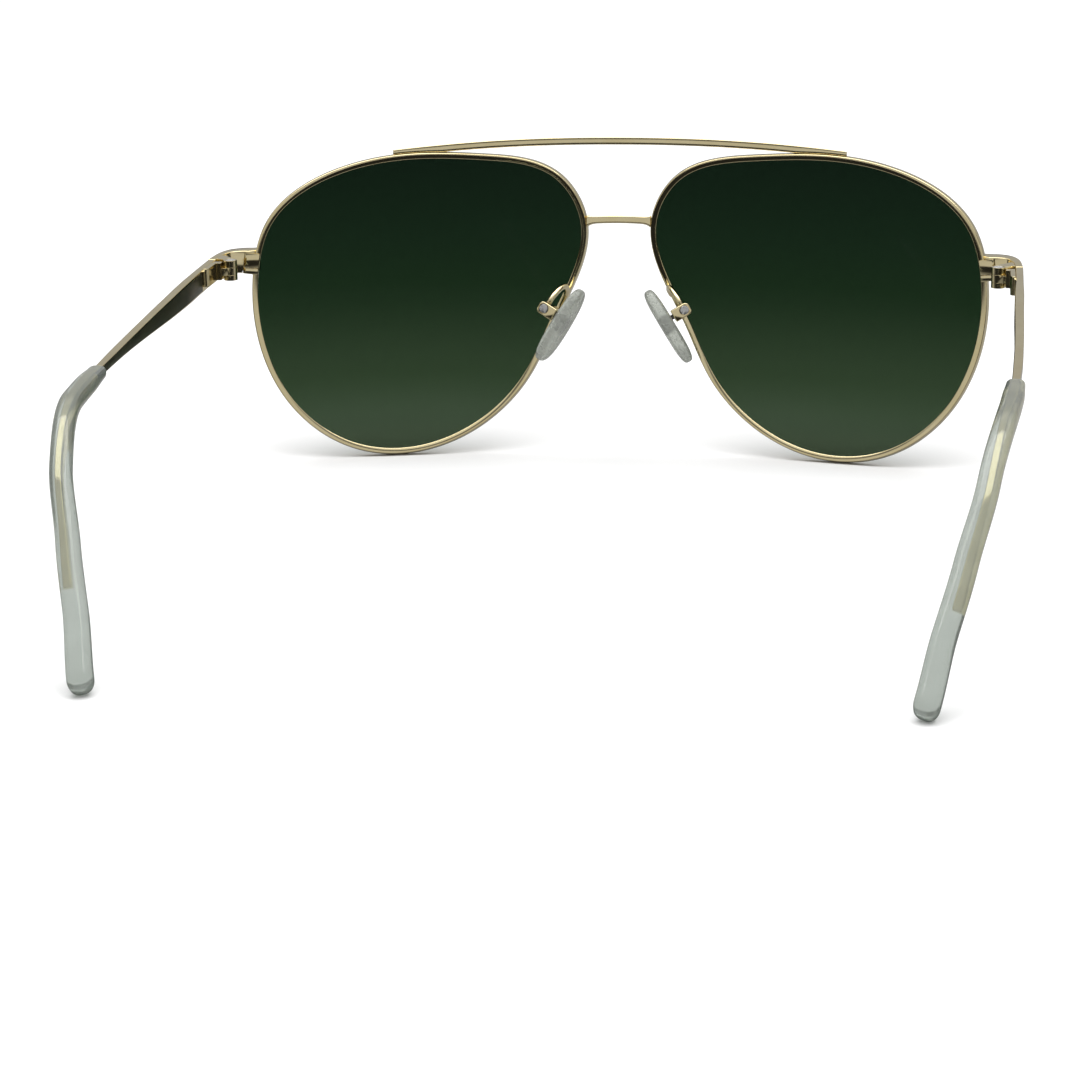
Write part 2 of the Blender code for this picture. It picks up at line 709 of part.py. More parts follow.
def make_temple_tip(side, parent, mat):
    bend = [BEND_START + BEND_RADIUS * BEND_ANGLE * k / 6 for k in range(7)]
    stations = [SLEEVE_START, 73.2, 76, 79.5, 84] + bend + [113, 119, 125, 131, 135]
    nose = [(TEMPLE_LENGTH - back, share) for back, share in
            ((2.6, 0.94), (1.0, 0.78), (0.2, 0.52), (0.0, 0.25))]
    bm = bmesh.new()
    outer = []
    for s, share in [(s, 1.0) for s in stations] + nose:
        outer.append(sleeve_section(TempleFrame(s), blend(s, SLEEVE_THICKNESS) * share,
                                    blend(s, SLEEVE_HEIGHT) * share, blend(s, SLEEVE_INBOARD)))
    inner = []
    bore = [s for s in stations if s < CORE_END] + [CORE_END + 0.2]
    for s in bore:
        inner.append(sleeve_section(TempleFrame(s), blend(s, CORE_THICKNESS) + 2 * CORE_GAP + 0.1,
                                    blend(s, TEMPLE_HEIGHT) + 2 * CORE_GAP + 0.1))
    outer_loops = [[bm.verts.new(p) for p in ring] for ring in outer]
    inner_loops = [[bm.verts.new(p) for p in ring] for ring in inner]
    strips = [*zip(outer_loops, outer_loops[1:]), *zip(inner_loops, inner_loops[1:]),
              (outer_loops[0], inner_loops[0])]
    for low, high in strips:
        for i in range(len(low)):
            j = (i + 1) % len(low)
            bm.faces.new((low[i], low[j], high[j], high[i]))
    bm.faces.new(outer_loops[-1])
    bm.faces.new(inner_loops[-1])
    return finish(f"temple_tip_{side_name(side)}", bm, mat, parent, side)


# ---------------------------------------------------------------- nose pads

class PadFrame:
    """Directions at the pad screw: up along the pad, toward the nose, back."""

    def __init__(self):
        self.origin = Vector(PAD_SCREW)
        self.up = Vector((-math.sin(PAD_TILT), -0.08, math.cos(PAD_TILT))).normalized()
        flat = Vector((-math.cos(PAD_TILT), 0, -math.sin(PAD_TILT)))
        toward = flat * math.cos(PAD_SPLAY) + Vector((0, 1, 0)) * math.sin(PAD_SPLAY)
        self.back = toward.cross(self.up).normalized()
        if self.back.y < 0:
            self.back = -self.back
        self.toward = self.up.cross(self.back).normalized()
        if self.toward.x > 0:
            self.toward = -self.toward

    def point(self, up, toward, back):
        return self.origin + self.up * up + self.toward * toward + self.back * back

    def block(self, up, toward, back, bm=None):
        rings = [[self.point(u, t, b) for u, b in
                  ((up[0], back[0]), (up[1], back[0]), (up[1], back[1]), (up[0], back[1]))]
                 for t in toward]
        return loft(rings, bm=bm)


PAD = PadFrame()


def pad_outline(scale, count=20):
    """Teardrop pad outline, fuller at the lower end."""
    ring = []
    for k in range(count):
        turn = math.tau * k / count
        up = PAD_SHIFT + PAD_LENGTH / 2 * math.sin(turn) * scale
        width = PAD_WIDTH / 2 * (1 - 0.10 * math.sin(turn))
        back = width * math.copysign(abs(math.cos(turn)) ** 0.85, math.cos(turn)) * scale
        ring.append((up, back))
    return ring


def make_nose_pad(side, parent, mat):
    name = side_name(side)
    half = PAD_THICKNESS / 2
    layers = ((-half, 0.78), (-half * 0.62, 0.95), (0, 1.0), (half * 0.6, 0.94), (half * 0.9, 0.8),
              (half, 0.6))
    rings = [[PAD.point(u, PAD_OFFSET + n, b) for u, b in pad_outline(scale)]
             for n, scale in layers]
    obj = finish(f"nose_pad_{name}", loft(rings), mat, parent, side)
    gap = 0.06
    plate = PAD.block((-3.5 - gap, 1.5 + gap), (PAD_OFFSET - 0.3 - gap, PAD_OFFSET + 0.3 + gap),
                      (-1.6 - gap, 1.6 + gap))
    finish_cut(obj, plate, f"pad_pocket_{name}", side)
    stem = PAD.block((-0.4 - gap, 0.4 + gap), (0, PAD_OFFSET), (-0.7 - gap, 0.7 + gap))
    finish_cut(obj, stem, f"pad_stem_{name}", side)
    return obj


def make_pad_insert(side, parent, mat):
    name = side_name(side)
    stem = PAD.block((-0.4, 0.4), (-0.42, PAD_OFFSET), (-0.7, 0.7))
    obj = finish(f"pad_insert_{name}", stem, mat, parent, side)
    plate = PAD.block((-3.5, 1.5), (PAD_OFFSET - 0.3, PAD_OFFSET + 0.3), (-1.6, 1.6))
    finish_cut(obj, plate, f"insert_plate_{name}", side, "UNION")
    bore = turned(((-2, 0.34), (2, 0.34)), PAD.origin, PAD.back, 12)
    finish_cut(obj, bore, f"insert_eye_{name}", side)
    return obj


def make_pad_box(side, parent, mat):
    name = side_name(side)
    corner = 0.35
    outline = []
    for u, t in ((-1.1, -1.1), (1.1, -1.1), (1.1, 2.2), (-1.1, 2.2)):
        inset_u = math.copysign(corner, u)
        inset_t = corner if t < 0 else 0.0
        pair = ((u - inset_u, t), (u, t + inset_t))
        if inset_t == 0.0:
            outline.append((u, t))
        elif u < 0:
            outline.extend(reversed(pair))
        else:
            outline.extend(pair)
    rings = [[PAD.point(u, t, b) for u, t in outline] for b in (-1.2, 1.35)]
    obj = finish(f"pad_box_{name}", loft(rings), mat, parent, side)
    pocket = PAD.block((-0.76, 0.76), (-0.72, 4), (-0.85, 0.85))
    finish_cut(obj, pocket, f"box_pocket_{name}", side)
    bore = turned(((-2, 0.34), (1.05, 0.34), (1.05, 0.8), (2, 0.8)), PAD.origin, PAD.back, 16)
    finish_cut(obj, bore, f"box_bore_{name}", side)
    return obj


def make_pad_screw(side, parent, mat):
    name = side_name(side)
    profile = ((-1.15, 0.3), (1.08, 0.3), (1.08, 0.74), (1.38, 0.74))
    obj = finish(f"pad_screw_{name}", turned(profile, PAD.origin, PAD.back, 16), mat, parent, side)
    slot = slot_cutter(PAD.point(0, 0, 1.38), -PAD.back, 0.74, 0.24, 0.15)
    finish_cut(obj, slot, f"pad_screw_slot_{name}", side)
    return obj


def make_pad_arm(side, parent, mat):
    """Looped wire from the rim's rear face up and back to the pad box."""
    route = ((9.35, 0.62, 4.0), (9.05, 1.9, 5.05), (9.2, 3.4, 5.8), (9.75, 4.9, 5.8),
             (10.6, 6.2, 5.0), (11.21, 6.85, 4.2), (11.59, 6.91, 3.6))
    points = open_spline(route, 20)
    rings = []
    for i, here in enumerate(points):
        before = points[max(i - 1, 0)]
        after = points[min(i + 1, len(points) - 1)]
        along = (after - before).normalized()
        side_way = along.cross(Vector((1, 0.2, 0))).normalized()
        other = along.cross(side_way)
        rings.append([here + (side_way * math.cos(a) + other * math.sin(a)) * PAD_ARM_R
                      for a in (math.tau * k / 8 for k in range(8))])
    return finish(f"pad_arm_{side_name(side)}", loft(rings), mat, parent, side)


def open_spline(points, count):
    """Catmull-Rom curve through 3-D points."""
    pts = [Vector(p) for p in points]
    pts = [pts[0] * 2 - pts[1]] + pts + [pts[-1] * 2 - pts[-2]]
    out = []
    spans = len(pts) - 3
    for k in range(count):
        t = spans * k / (count - 1)
        i = min(int(t), spans - 1)
        t -= i
        a, b, c, d = pts[i:i + 4]
        out.append(((b * 2) + (c - a) * t + (a * 2 - b * 5 + c * 4 - d) * t**2
                    + (b * 3 - a - c * 3 + d) * t**3) * 0.5)
    return out


# ---------------------------------------------------------------- assembly

def side_name(side):
    return "left" if side > 0 else "right"


def build():
    clear_scene()
    gold = material("champagne gold plated metal", GOLD, 1.0, 0.15)
    silver = material("steel screw", SILVER, 1.0, 0.25)
    green = material("dark green lens", LENS_GREEN, 0.0, 0.05)
    silicone = material("clear silicone", SILICONE, 0.0, 0.35)
    clear = material("clear tip plastic", TIP_CLEAR, 0.0, 0.2)
    dark = material("dark insert", DARK, 0.0, 0.5)

    root = empty("front_origin", (0, FRONT_Y, FRONT_Z))
    make_brow_bar(root, gold)
    make_bridge(root, gold)
    for side in (1, -1):
        name = side_name(side)
        make_rim(side, root, gold)
        make_lens(side, root, green)
        make_rim_lock(side, root, gold, silver)
        make_end_piece(side, root, gold)
        make_front_hinge(side, root, gold)
        make_pad_arm(side, root, gold)
        make_pad_box(side, root, gold)
        make_pad_screw(side, root, silver)

        screw = Vector(PAD_SCREW)
        pad = empty(f"pad_pivot_{name}", (screw.x * side, screw.y + FRONT_Y, screw.z + FRONT_Z),
                    root)
        make_nose_pad(side, pad, silicone)
        make_pad_insert(side, pad, dark)

        pin = (HINGE_X * side, HINGE_Y + FRONT_Y, HINGE_Z + FRONT_Z)
        make_hinge_screw(side, root, silver)
        fold = empty(f"fold_pivot_{name}", pin, root)
        make_slider(side, fold, gold)
        slide = empty(f"temple_slide_{name}", pin, fold)
        make_hinge_spring(side, fold, silver)
        make_spring_box(side, slide, gold)
        make_spring_stop(side, slide, silver)
        make_temple(side, slide, gold)
        make_temple_tip(side, slide, clear)


build()
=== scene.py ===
# %% [markdown]
# # Aviator sunglasses
# The imported model is a fixed frame: every size and every joint is already settled there.
# This file builds the pieces that are seen: smoother metalwork, polished lenses,
# translucent pads and tips. Each new piece stands in for a node of the frame and hangs on
# an empty named for that node's body.

import math

import bmesh
import bpy
import numpy as np
from mathutils import Matrix, Vector


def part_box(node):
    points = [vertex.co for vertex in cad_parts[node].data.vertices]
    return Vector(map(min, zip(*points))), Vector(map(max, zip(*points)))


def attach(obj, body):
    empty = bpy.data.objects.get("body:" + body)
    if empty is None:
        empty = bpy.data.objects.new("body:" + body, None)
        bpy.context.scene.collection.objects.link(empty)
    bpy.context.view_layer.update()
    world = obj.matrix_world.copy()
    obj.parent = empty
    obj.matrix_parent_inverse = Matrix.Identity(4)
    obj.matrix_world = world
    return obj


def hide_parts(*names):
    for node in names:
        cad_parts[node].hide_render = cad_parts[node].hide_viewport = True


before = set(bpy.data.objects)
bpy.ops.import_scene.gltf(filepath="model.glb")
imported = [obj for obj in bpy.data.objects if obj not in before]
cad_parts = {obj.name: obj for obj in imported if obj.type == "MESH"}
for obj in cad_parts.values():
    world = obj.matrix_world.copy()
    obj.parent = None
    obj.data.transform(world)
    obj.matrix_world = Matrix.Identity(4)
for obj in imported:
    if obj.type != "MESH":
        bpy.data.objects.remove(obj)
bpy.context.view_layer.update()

# %% [markdown]
# ## Where things are
# A pair of glasses is designed round its front, so lengths here are millimetres from the
# middle of the front, for the wearer's left side. The hinge screw is the one part whose
# place both sides share, so the front's middle is found from it. One function then mirrors
# a shape to its side and moves it into the frame, in metres.

# %% Units, sides and the middle of the front
MM = 0.001
SIDES = (("left", 1), ("right", -1))
HINGE = Vector((66.05, 16.6, 10.8))
SCREW_MIDDLE = HINGE + Vector((0, 0, 0.025))

low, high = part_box("hinge_screw_left")
ORIGIN = (low + high) / 2 / MM - SCREW_MIDDLE
print("middle of the front, mm:", [round(v, 2) for v in ORIGIN])

# %% [markdown]
# ## Tools of the bench
# Every shape is worked on as a bmesh, drawn for the left side and in millimetres. The same
# few steps come back on each piece: bend it, find its sharp edges, round them, and hand it
# over. Writing each step once keeps the pieces short to read and treats all of them alike.

# %% Turning a worked shape into a piece
made_pieces = []


def put_in_scene(name, data):
    made = bpy.data.objects.new(name, data)
    bpy.context.scene.collection.objects.link(made)
    return made


def make_piece(name, bm, side, body, nodes, materials, smooth=40.0):
    """Mirror a shape to its side, place it and hang it on its body."""
    bmesh.ops.scale(bm, vec=(side, 1, 1), verts=bm.verts)
    bmesh.ops.translate(bm, vec=ORIGIN, verts=bm.verts)
    bmesh.ops.scale(bm, vec=(MM, MM, MM), verts=bm.verts)
    bmesh.ops.recalc_face_normals(bm, faces=bm.faces)
    mesh = bpy.data.meshes.new(name)
    bm.to_mesh(mesh)
    bm.free()
    for material in materials:
        mesh.materials.append(material)
    mesh.shade_smooth()
    mesh.set_sharp_from_angle(angle=math.radians(smooth))
    piece = put_in_scene(name, mesh)
    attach(piece, body)
    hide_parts(*nodes)
    made_pieces.append(name)


def report(title):
    """Say which pieces have been made since the last report."""
    print(f"{title}: {', '.join(made_pieces)}")
    made_pieces.clear()


# %% Bending and rounding
def move_points(bm, place):
    """Send each point of a flat or straight shape to its place on the bent one."""
    for vert in bm.verts:
        vert.co = place(vert.co.copy())


def sharp_edges(bm, degrees=50.0):
    limit = math.radians(degrees)
    return [e for e in bm.edges if e.is_manifold and e.calc_face_angle() > limit]


def round_edges(bm, edges, width, segments=3):
    bmesh.ops.bevel(bm, geom=edges, offset=width, segments=segments, affect="EDGES",
                    profile=0.5, material=-1, clamp_overlap=True)


def straight_bar(length, width, height, cuts, rounding, segments=3):
    """A bar along X, cut across so that it can bend, with its long edges rounded."""
    bm = bmesh.new()
    bmesh.ops.create_cube(bm, size=1.0)
    bmesh.ops.scale(bm, vec=(length, width, height), verts=bm.verts)
    long_edges = [e for e in bm.edges
                  if abs(e.verts[0].co.x - e.verts[1].co.x) > length / 2]
    bmesh.ops.subdivide_edges(bm, edges=long_edges, cuts=cuts, use_grid_fill=True)
    round_edges(bm, sharp_edges(bm), rounding, segments)
    return bm


# %% Blocks, rods and prisms
def block(low, high):
    """A plain block between two corners."""
    low, high = Vector(low), Vector(high)
    bm = bmesh.new()
    bmesh.ops.create_cube(bm, size=1.0)
    bmesh.ops.scale(bm, vec=high - low, verts=bm.verts)
    bmesh.ops.translate(bm, vec=(low + high) / 2, verts=bm.verts)
    return bm


def rod(radius, low, high, segments=40):
    """A round rod along Z between two heights."""
    bm = bmesh.new()
    bmesh.ops.create_cone(bm, cap_ends=True, segments=segments, radius1=radius,
                          radius2=radius, depth=high - low)
    bmesh.ops.translate(bm, vec=(0, 0, (low + high) / 2), verts=bm.verts)
    return bm


def prism(plan, low, high):
    """A flat plan raised along Z from one height to another."""
    bm = bmesh.new()
    face = bm.faces.new([bm.verts.new((x, y, low)) for x, y in plan])
    raised = bmesh.ops.extrude_face_region(bm, geom=[face])["geom"]
    bmesh.ops.translate(bm, vec=(0, 0, high - low),
                        verts=[g for g in raised if isinstance(g, bmesh.types.BMVert)])
    bmesh.ops.recalc_face_normals(bm, faces=bm.faces)
    return bm


# %% Subtracting one worked shape from another
def cut_away(bm, tool):
    """Use up both shapes and give back the first with the second cut out of it."""
    made = []
    for name, shape in (("blank", bm), ("tool", tool)):
        mesh = bpy.data.meshes.new(name)
        shape.to_mesh(mesh)
        shape.free()
        made.append(put_in_scene(name, mesh))
    blank, cutter = made
    step = blank.modifiers.new("cut", "BOOLEAN")
    step.operation, step.solver, step.object = "DIFFERENCE", "EXACT", cutter
    shaped = blank.evaluated_get(bpy.context.evaluated_depsgraph_get())
    result = bmesh.new()
    result.from_mesh(shaped.data)
    for used in made:
        mesh = used.data
        bpy.data.objects.remove(used)
        bpy.data.meshes.remove(mesh)
    return result


print("bench tools ready; lengths in mm are scaled by", MM)

# %% [markdown]
# ## Finishes
# Plated metal is never a perfect mirror. Handling leaves soft smudges and very fine hair
# lines, both too small to change the outline but easy to see in a highlight. Several
# finishes share that effect, so it is a node group with its own sliders: it puts out a
# roughness that wanders and a height for a bump.

# %% The shared "handled surface" group
def handled_surface_group():
    group = bpy.data.node_groups.new("handled surface", "ShaderNodeTree")
    sockets = (("Smudge Size", "INPUT", 150.0), ("Hair Size", "INPUT", 3000.0),
               ("Base Roughness", "INPUT", 0.12), ("Smudge Amount", "INPUT", 0.1))
    for name, way, value in sockets:
        socket = group.interface.new_socket(name, in_out=way, socket_type="NodeSocketFloat")
        socket.default_value = value
    for name in ("Roughness", "Height"):
        group.interface.new_socket(name, in_out="OUTPUT", socket_type="NodeSocketFloat")
    nodes, links = group.nodes, group.links
    entry, leave = nodes.new("NodeGroupInput"), nodes.new("NodeGroupOutput")
    place = nodes.new("ShaderNodeTexCoord")
    smudge = nodes.new("ShaderNodeTexNoise")
    smudge.inputs["Detail"].default_value = 4.0
    stretch = nodes.new("ShaderNodeMapping")
    stretch.inputs["Scale"].default_value = (1.0, 0.08, 1.0)
    hair = nodes.new("ShaderNodeTexNoise")
    hair.inputs["Detail"].default_value = 2.0
    scaled = nodes.new("ShaderNodeMath")
    scaled.operation = "MULTIPLY"
    total = nodes.new("ShaderNodeMath")
    total.operation = "ADD"
    links.new(place.outputs["Object"], smudge.inputs["Vector"])
    links.new(place.outputs["Object"], stretch.inputs["Vector"])
    links.new(stretch.outputs["Vector"], hair.inputs["Vector"])
    links.new(entry.outputs["Smudge Size"], smudge.inputs["Scale"])
    links.new(entry.outputs["Hair Size"], hair.inputs["Scale"])
    links.new(smudge.outputs["Fac"], scaled.inputs[0])
    links.new(entry.outputs["Smudge Amount"], scaled.inputs[1])
    links.new(scaled.outputs["Value"], total.inputs[0])
    links.new(entry.outputs["Base Roughness"], total.inputs[1])
    links.new(total.outputs["Value"], leave.inputs["Roughness"])
    links.new(hair.outputs["Fac"], leave.inputs["Height"])
    return group


HANDLED = handled_surface_group()
print("node group:", HANDLED.name, [socket.name for socket in HANDLED.interface.items_tree])


# %% Starting a finish and adding the handling
FINEST_RELIEF = 0.00002


def new_finish(name):
    material = bpy.data.materials.new(name)
    material.use_nodes = True
    return material, material.node_tree, material.node_tree.nodes["Principled BSDF"]


def add_handling(tree, shader, smudge_size, hair_size, base, amount, bump):
    """Place the shared group in a finish and join it to the shader."""
    handled = tree.nodes.new("ShaderNodeGroup")
    handled.node_tree = HANDLED
    for name, value in (("Smudge Size", smudge_size), ("Hair Size", hair_size),
                        ("Base Roughness", base), ("Smudge Amount", amount)):
        handled.inputs[name].default_value = value
    tree.links.new(handled.outputs["Roughness"], shader.inputs["Roughness"])
    if bump:
        lift = tree.nodes.new("ShaderNodeBump")
        lift.inputs["Strength"].default_value = bump
        lift.inputs["Distance"].default_value = FINEST_RELIEF
        tree.links.new(handled.outputs["Height"], lift.inputs["Height"])
        tree.links.new(lift.outputs["Normal"], shader.inputs["Normal"])


# %% [markdown]
# No plating or plastic is one colour all over. It could be painted by hand or taken from a
# texture, but a soft noise that drifts between two close tones needs neither. Every finish
# uses it with its own tones and its own patch size, so it is the second shared group.

# %% The shared "wandering tone" group
def wandering_tone_group():
    group = bpy.data.node_groups.new("wandering tone", "ShaderNodeTree")
    group.interface.new_socket("Patch Size", in_out="INPUT", socket_type="NodeSocketFloat")
    for name in ("First Tone", "Second Tone"):
        group.interface.new_socket(name, in_out="INPUT", socket_type="NodeSocketColor")
    group.interface.new_socket("Color", in_out="OUTPUT", socket_type="NodeSocketColor")
    nodes, links = group.nodes, group.links
    entry, leave = nodes.new("NodeGroupInput"), nodes.new("NodeGroupOutput")
    place = nodes.new("ShaderNodeTexCoord")
    noise = nodes.new("ShaderNodeTexNoise")
    contrast = nodes.new("ShaderNodeMapRange")
    contrast.inputs["From Min"].default_value = 0.35
    contrast.inputs["From Max"].default_value = 0.65
    tones = nodes.new("ShaderNodeMix")
    tones.data_type = "RGBA"
    links.new(place.outputs["Object"], noise.inputs["Vector"])
    links.new(entry.outputs["Patch Size"], noise.inputs["Scale"])
    links.new(noise.outputs["Fac"], contrast.inputs["Value"])
    links.new(contrast.outputs["Result"], tones.inputs["Factor"])
    links.new(entry.outputs["First Tone"], tones.inputs["A"])
    links.new(entry.outputs["Second Tone"], tones.inputs["B"])
    links.new(tones.outputs["Result"], leave.inputs["Color"])
    return group


TONE = wandering_tone_group()


# %% Giving a finish its two tones
def wandering_colour(tree, shader, patch_size, first, second):
    """Base colour that drifts between two close tones over the surface."""
    tone = tree.nodes.new("ShaderNodeGroup")
    tone.node_tree = TONE
    tone.inputs["Patch Size"].default_value = patch_size
    tone.inputs["First Tone"].default_value = (*first, 1)
    tone.inputs["Second Tone"].default_value = (*second, 1)
    tree.links.new(tone.outputs["Color"], shader.inputs["Base Color"])


print("node group:", TONE.name, [socket.name for socket in TONE.interface.items_tree])

# %% [markdown]
# ### Metals
# The frame is plated in a pale champagne gold and polished bright. The screws are plain
# steel, left in their own colour. The inner side of each temple carries a dark lacquer.
# A metal could be faked with a bright diffuse colour, but only a full Metallic value takes
# its light from the room, so both metals come from one function with different numbers.

# %% Gold, steel and lacquer
def metal(name, first, second, base, amount, bump):
    """A bare or plated metal; base and amount are its roughness and its smudges."""
    material, tree, shader = new_finish(name)
    shader.inputs["Metallic"].default_value = 1.0
    wandering_colour(tree, shader, 220.0, first, second)
    add_handling(tree, shader, smudge_size=160.0, hair_size=4000.0, base=base,
                 amount=amount, bump=bump)
    return material


GOLD = metal("champagne gold plating", (0.82, 0.70, 0.41), (0.87, 0.755, 0.465),
             base=0.05, amount=0.10, bump=0.05)
STEEL = metal("bare steel screw", (0.62, 0.62, 0.61), (0.70, 0.70, 0.69),
              base=0.16, amount=0.2, bump=0.15)
print("metals:", GOLD.name, "and", STEEL.name)


def lacquer():
    material, tree, shader = new_finish("dark temple lacquer")
    wandering_colour(tree, shader, 260.0, (0.012, 0.011, 0.006), (0.022, 0.019, 0.010))
    add_handling(tree, shader, smudge_size=200.0, hair_size=4000.0, base=0.22, amount=0.2,
                 bump=0.1)
    shader.inputs["Coat Weight"].default_value = 0.4
    shader.inputs["Coat Roughness"].default_value = 0.12
    return material


LACQUER = lacquer()
print("lacquer:", LACQUER.name)

# %% [markdown]
# ### Lens tint
# A gradient lens is dark at the top, for the sky, and lighter at the bottom, for reading
# and the ground. It is dipped slowly in dye, so the tint depends only on height. Near the
# bottom the ramp is lifted further as painted light, to make up for the floor's shade seen
# through the lens. A volume would absorb light too, but a thin curved sheet renders cleaner
# with the tint on its surface: the height of each point picks the colour from a ramp, and
# the glass keeps a plain transmission so that it stays clear.

# %% A ramp from a list of stops
def colour_ramp(nodes, stops):
    """A ramp node with a colour at each position, first and last stop included."""
    ramp = nodes.new("ShaderNodeValToRGB")
    elements = ramp.color_ramp.elements
    for element, (position, colour) in zip((elements[0], elements[1]), (stops[0], stops[-1])):
        element.position = position
        element.color = (*colour, 1)
    for position, colour in stops[1:-1]:
        elements.new(position).color = (*colour, 1)
    return ramp


# %% The graded green glass
# Dye gradient; the lowest stops are also lifted as painted light for the floor's shade seen
# through the lens.
LENS_TINT_AND_PAINTED_LIFT = ((0.0, (0.060, 0.086, 0.050)), (0.1, (0.038, 0.060, 0.034)),
             (0.25, (0.0215, 0.0385, 0.0185)), (0.5, (0.0078, 0.0190, 0.0078)),
             (0.7, (0.0060, 0.0146, 0.0070)), (1.0, (0.0038, 0.0090, 0.0050)))
LENS_IOR = 1.12


def lens_glass():
    """Clear glass whose tint runs from the lens's lowest point to its highest."""
    lens_low, lens_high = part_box("lens_left")
    material, tree, shader = new_finish("graded green lens")
    shader.inputs["Transmission Weight"].default_value = 1.0
    shader.inputs["IOR"].default_value = LENS_IOR
    place = tree.nodes.new("ShaderNodeTexCoord")
    parts = tree.nodes.new("ShaderNodeSeparateXYZ")
    height = tree.nodes.new("ShaderNodeMapRange")
    height.inputs["From Min"].default_value = lens_low.z
    height.inputs["From Max"].default_value = lens_high.z
    ramp = colour_ramp(tree.nodes, LENS_TINT_AND_PAINTED_LIFT)
    tree.links.new(place.outputs["Object"], parts.inputs["Vector"])
    tree.links.new(parts.outputs["Z"], height.inputs["Value"])
    tree.links.new(height.outputs["Result"], ramp.inputs["Fac"])
    tree.links.new(ramp.outputs["Color"], shader.inputs["Base Color"])
    add_handling(tree, shader, smudge_size=60.0, hair_size=900.0, base=0.0, amount=0.03,
                 bump=0.0)
    return material


LENS = lens_glass()
print("lens tint:", len(LENS_TINT_AND_PAINTED_LIFT), "stops over the height of the lens")

# %% [markdown]
# ### Clear plastics
# Nose pads are soft silicone, cloudy all through. Temple tips are a clearer, harder
# plastic moulded over the metal core, which stays visible inside. Subsurface scattering
# could give the cloud, but it hides what is inside. Mixing plain transmission with an
# opaque share keeps the tip's core in sight and lets the pad's insert show faintly; the
# two plastics differ in that share.

# %% Silicone, tip plastic and the dark insert
def clear_plastic(name, colour, patch, drift, through, base, amount, ior, bump):
    """A plastic that lets a share of the light through; drift darkens its second tone."""
    material, tree, shader = new_finish(name)
    shader.inputs["Transmission Weight"].default_value = through
    shader.inputs["IOR"].default_value = ior
    wandering_colour(tree, shader, patch, colour, tuple(drift * c for c in colour))
    add_handling(tree, shader, smudge_size=500.0, hair_size=2500.0, base=base,
                 amount=amount, bump=bump)
    return material


SILICONE = clear_plastic("cloudy silicone", (0.54, 0.565, 0.51), patch=2400.0, drift=0.84,
                         through=0.55, base=0.12, amount=0.3, ior=1.41, bump=0.9)
TIP = clear_plastic("clear tip plastic", (0.46, 0.50, 0.46), patch=300.0, drift=0.93,
                    through=0.68, base=0.04, amount=0.10, ior=1.46, bump=0.02)


def dark_plastic():
    material, tree, shader = new_finish("dark pad insert")
    wandering_colour(tree, shader, 2600.0, (0.002, 0.002, 0.002), (0.12, 0.12, 0.11))
    add_handling(tree, shader, smudge_size=500.0, hair_size=2500.0, base=0.35, amount=0.2,
                 bump=0.1)
    return material


INSERT = dark_plastic()
print("plastics:", SILICONE.name, "/", TIP.name, "/", INSERT.name)

# %% [markdown]
# ## The curve of the front
# Sunglass lenses are cut from a sphere, and each one wraps a little round the face, while
# the whole front leans in at the bottom. A rim could be drawn straight in space, but it is
# far easier to draw it flat and then lay it on that curve, which is also how wire rims are
# made: bent flat, then formed.

# %% Laying a flat shape on the front
LEAN = math.radians(9.6)
WRAP_SLOPE = math.tan(math.radians(8.1))
LENS_RADIUS = 77.0
LENS_CENTRE_X = 35.0


def front_depth(u, v):
    """How far the sphere falls back from the flat at a point."""
    return WRAP_SLOPE * u + (u * u + v * v) / (2 * LENS_RADIUS)


def lean_back(across, v, w):
    """Lean a height v and a depth w with the front."""
    return Vector((across, w * math.cos(LEAN) - v * math.sin(LEAN),
                   v * math.cos(LEAN) + w * math.sin(LEAN)))


def on_front(point):
    """Lay a flat point (across, up, toward the face) on the curved lens surface."""
    u, v, w = point
    radial = Vector((-(WRAP_SLOPE + u / LENS_RADIUS), -v / LENS_RADIUS, 1)).normalized()
    through = (radial + Vector((0, 0, 1))).normalized()
    place = Vector((u, v, front_depth(u, v))) + through * w
    return lean_back(LENS_CENTRE_X + place.x, place.y, place.z)


print("the sphere falls back", round(front_depth(-29.0, 0.0), 2), "mm at the nose side")

# %% The rim's outline
RIM_WIDTH = 1.0
RIM_DEPTH = 1.8
RIM_OUTLINE = ((29.0, 8.0), (26.7, 15.9), (9.2, 27.0), (-11.2, 28.1), (-24.7, 24.6),
               (-29.1, 17.3), (-23.4, -1.4), (-18.9, -10.8), (-0.5, -24.2), (12.2, -23.7),
               (22.8, -16.2))


def closed_spline(points, count):
    """Even points on a smooth closed curve through the outline's corners."""
    pts = np.array(points)
    closed = np.vstack([pts, pts[:1]])
    knots = np.concatenate([[0.0], np.cumsum(np.linalg.norm(np.diff(closed, axis=0), axis=1))])
    h = np.diff(knots)
    n = len(pts)
    system, right = np.zeros((n, n)), np.zeros((n, 2))
    for i in range(n):
        before, after = h[i - 1], h[i]
        system[i, i - 1] += before
        system[i, i] += 2 * (before + after)
        system[i, (i + 1) % n] += after
        right[i] = 6 * ((closed[i + 1] - pts[i]) / after - (pts[i] - pts[i - 1]) / before)
    bend = np.linalg.solve(system, right)
    bend = np.vstack([bend, bend[:1]])
    curve = []
    for t in np.linspace(0, knots[-1], count, endpoint=False):
        i = min(int(np.searchsorted(knots, t, side="right")) - 1, n - 1)
        a = (knots[i + 1] - t) / h[i]
        b = 1 - a
        point = a * closed[i] + b * closed[i + 1]
        curve.append(point + ((a**3 - a) * bend[i] + (b**3 - b) * bend[i + 1]) * h[i] ** 2 / 6)
    return np.array(curve)


OUTLINE = closed_spline(RIM_OUTLINE, 240)
print("rim outline:", len(OUTLINE), "points,", round(float(np.ptp(OUTLINE[:, 0])), 1), "mm wide")


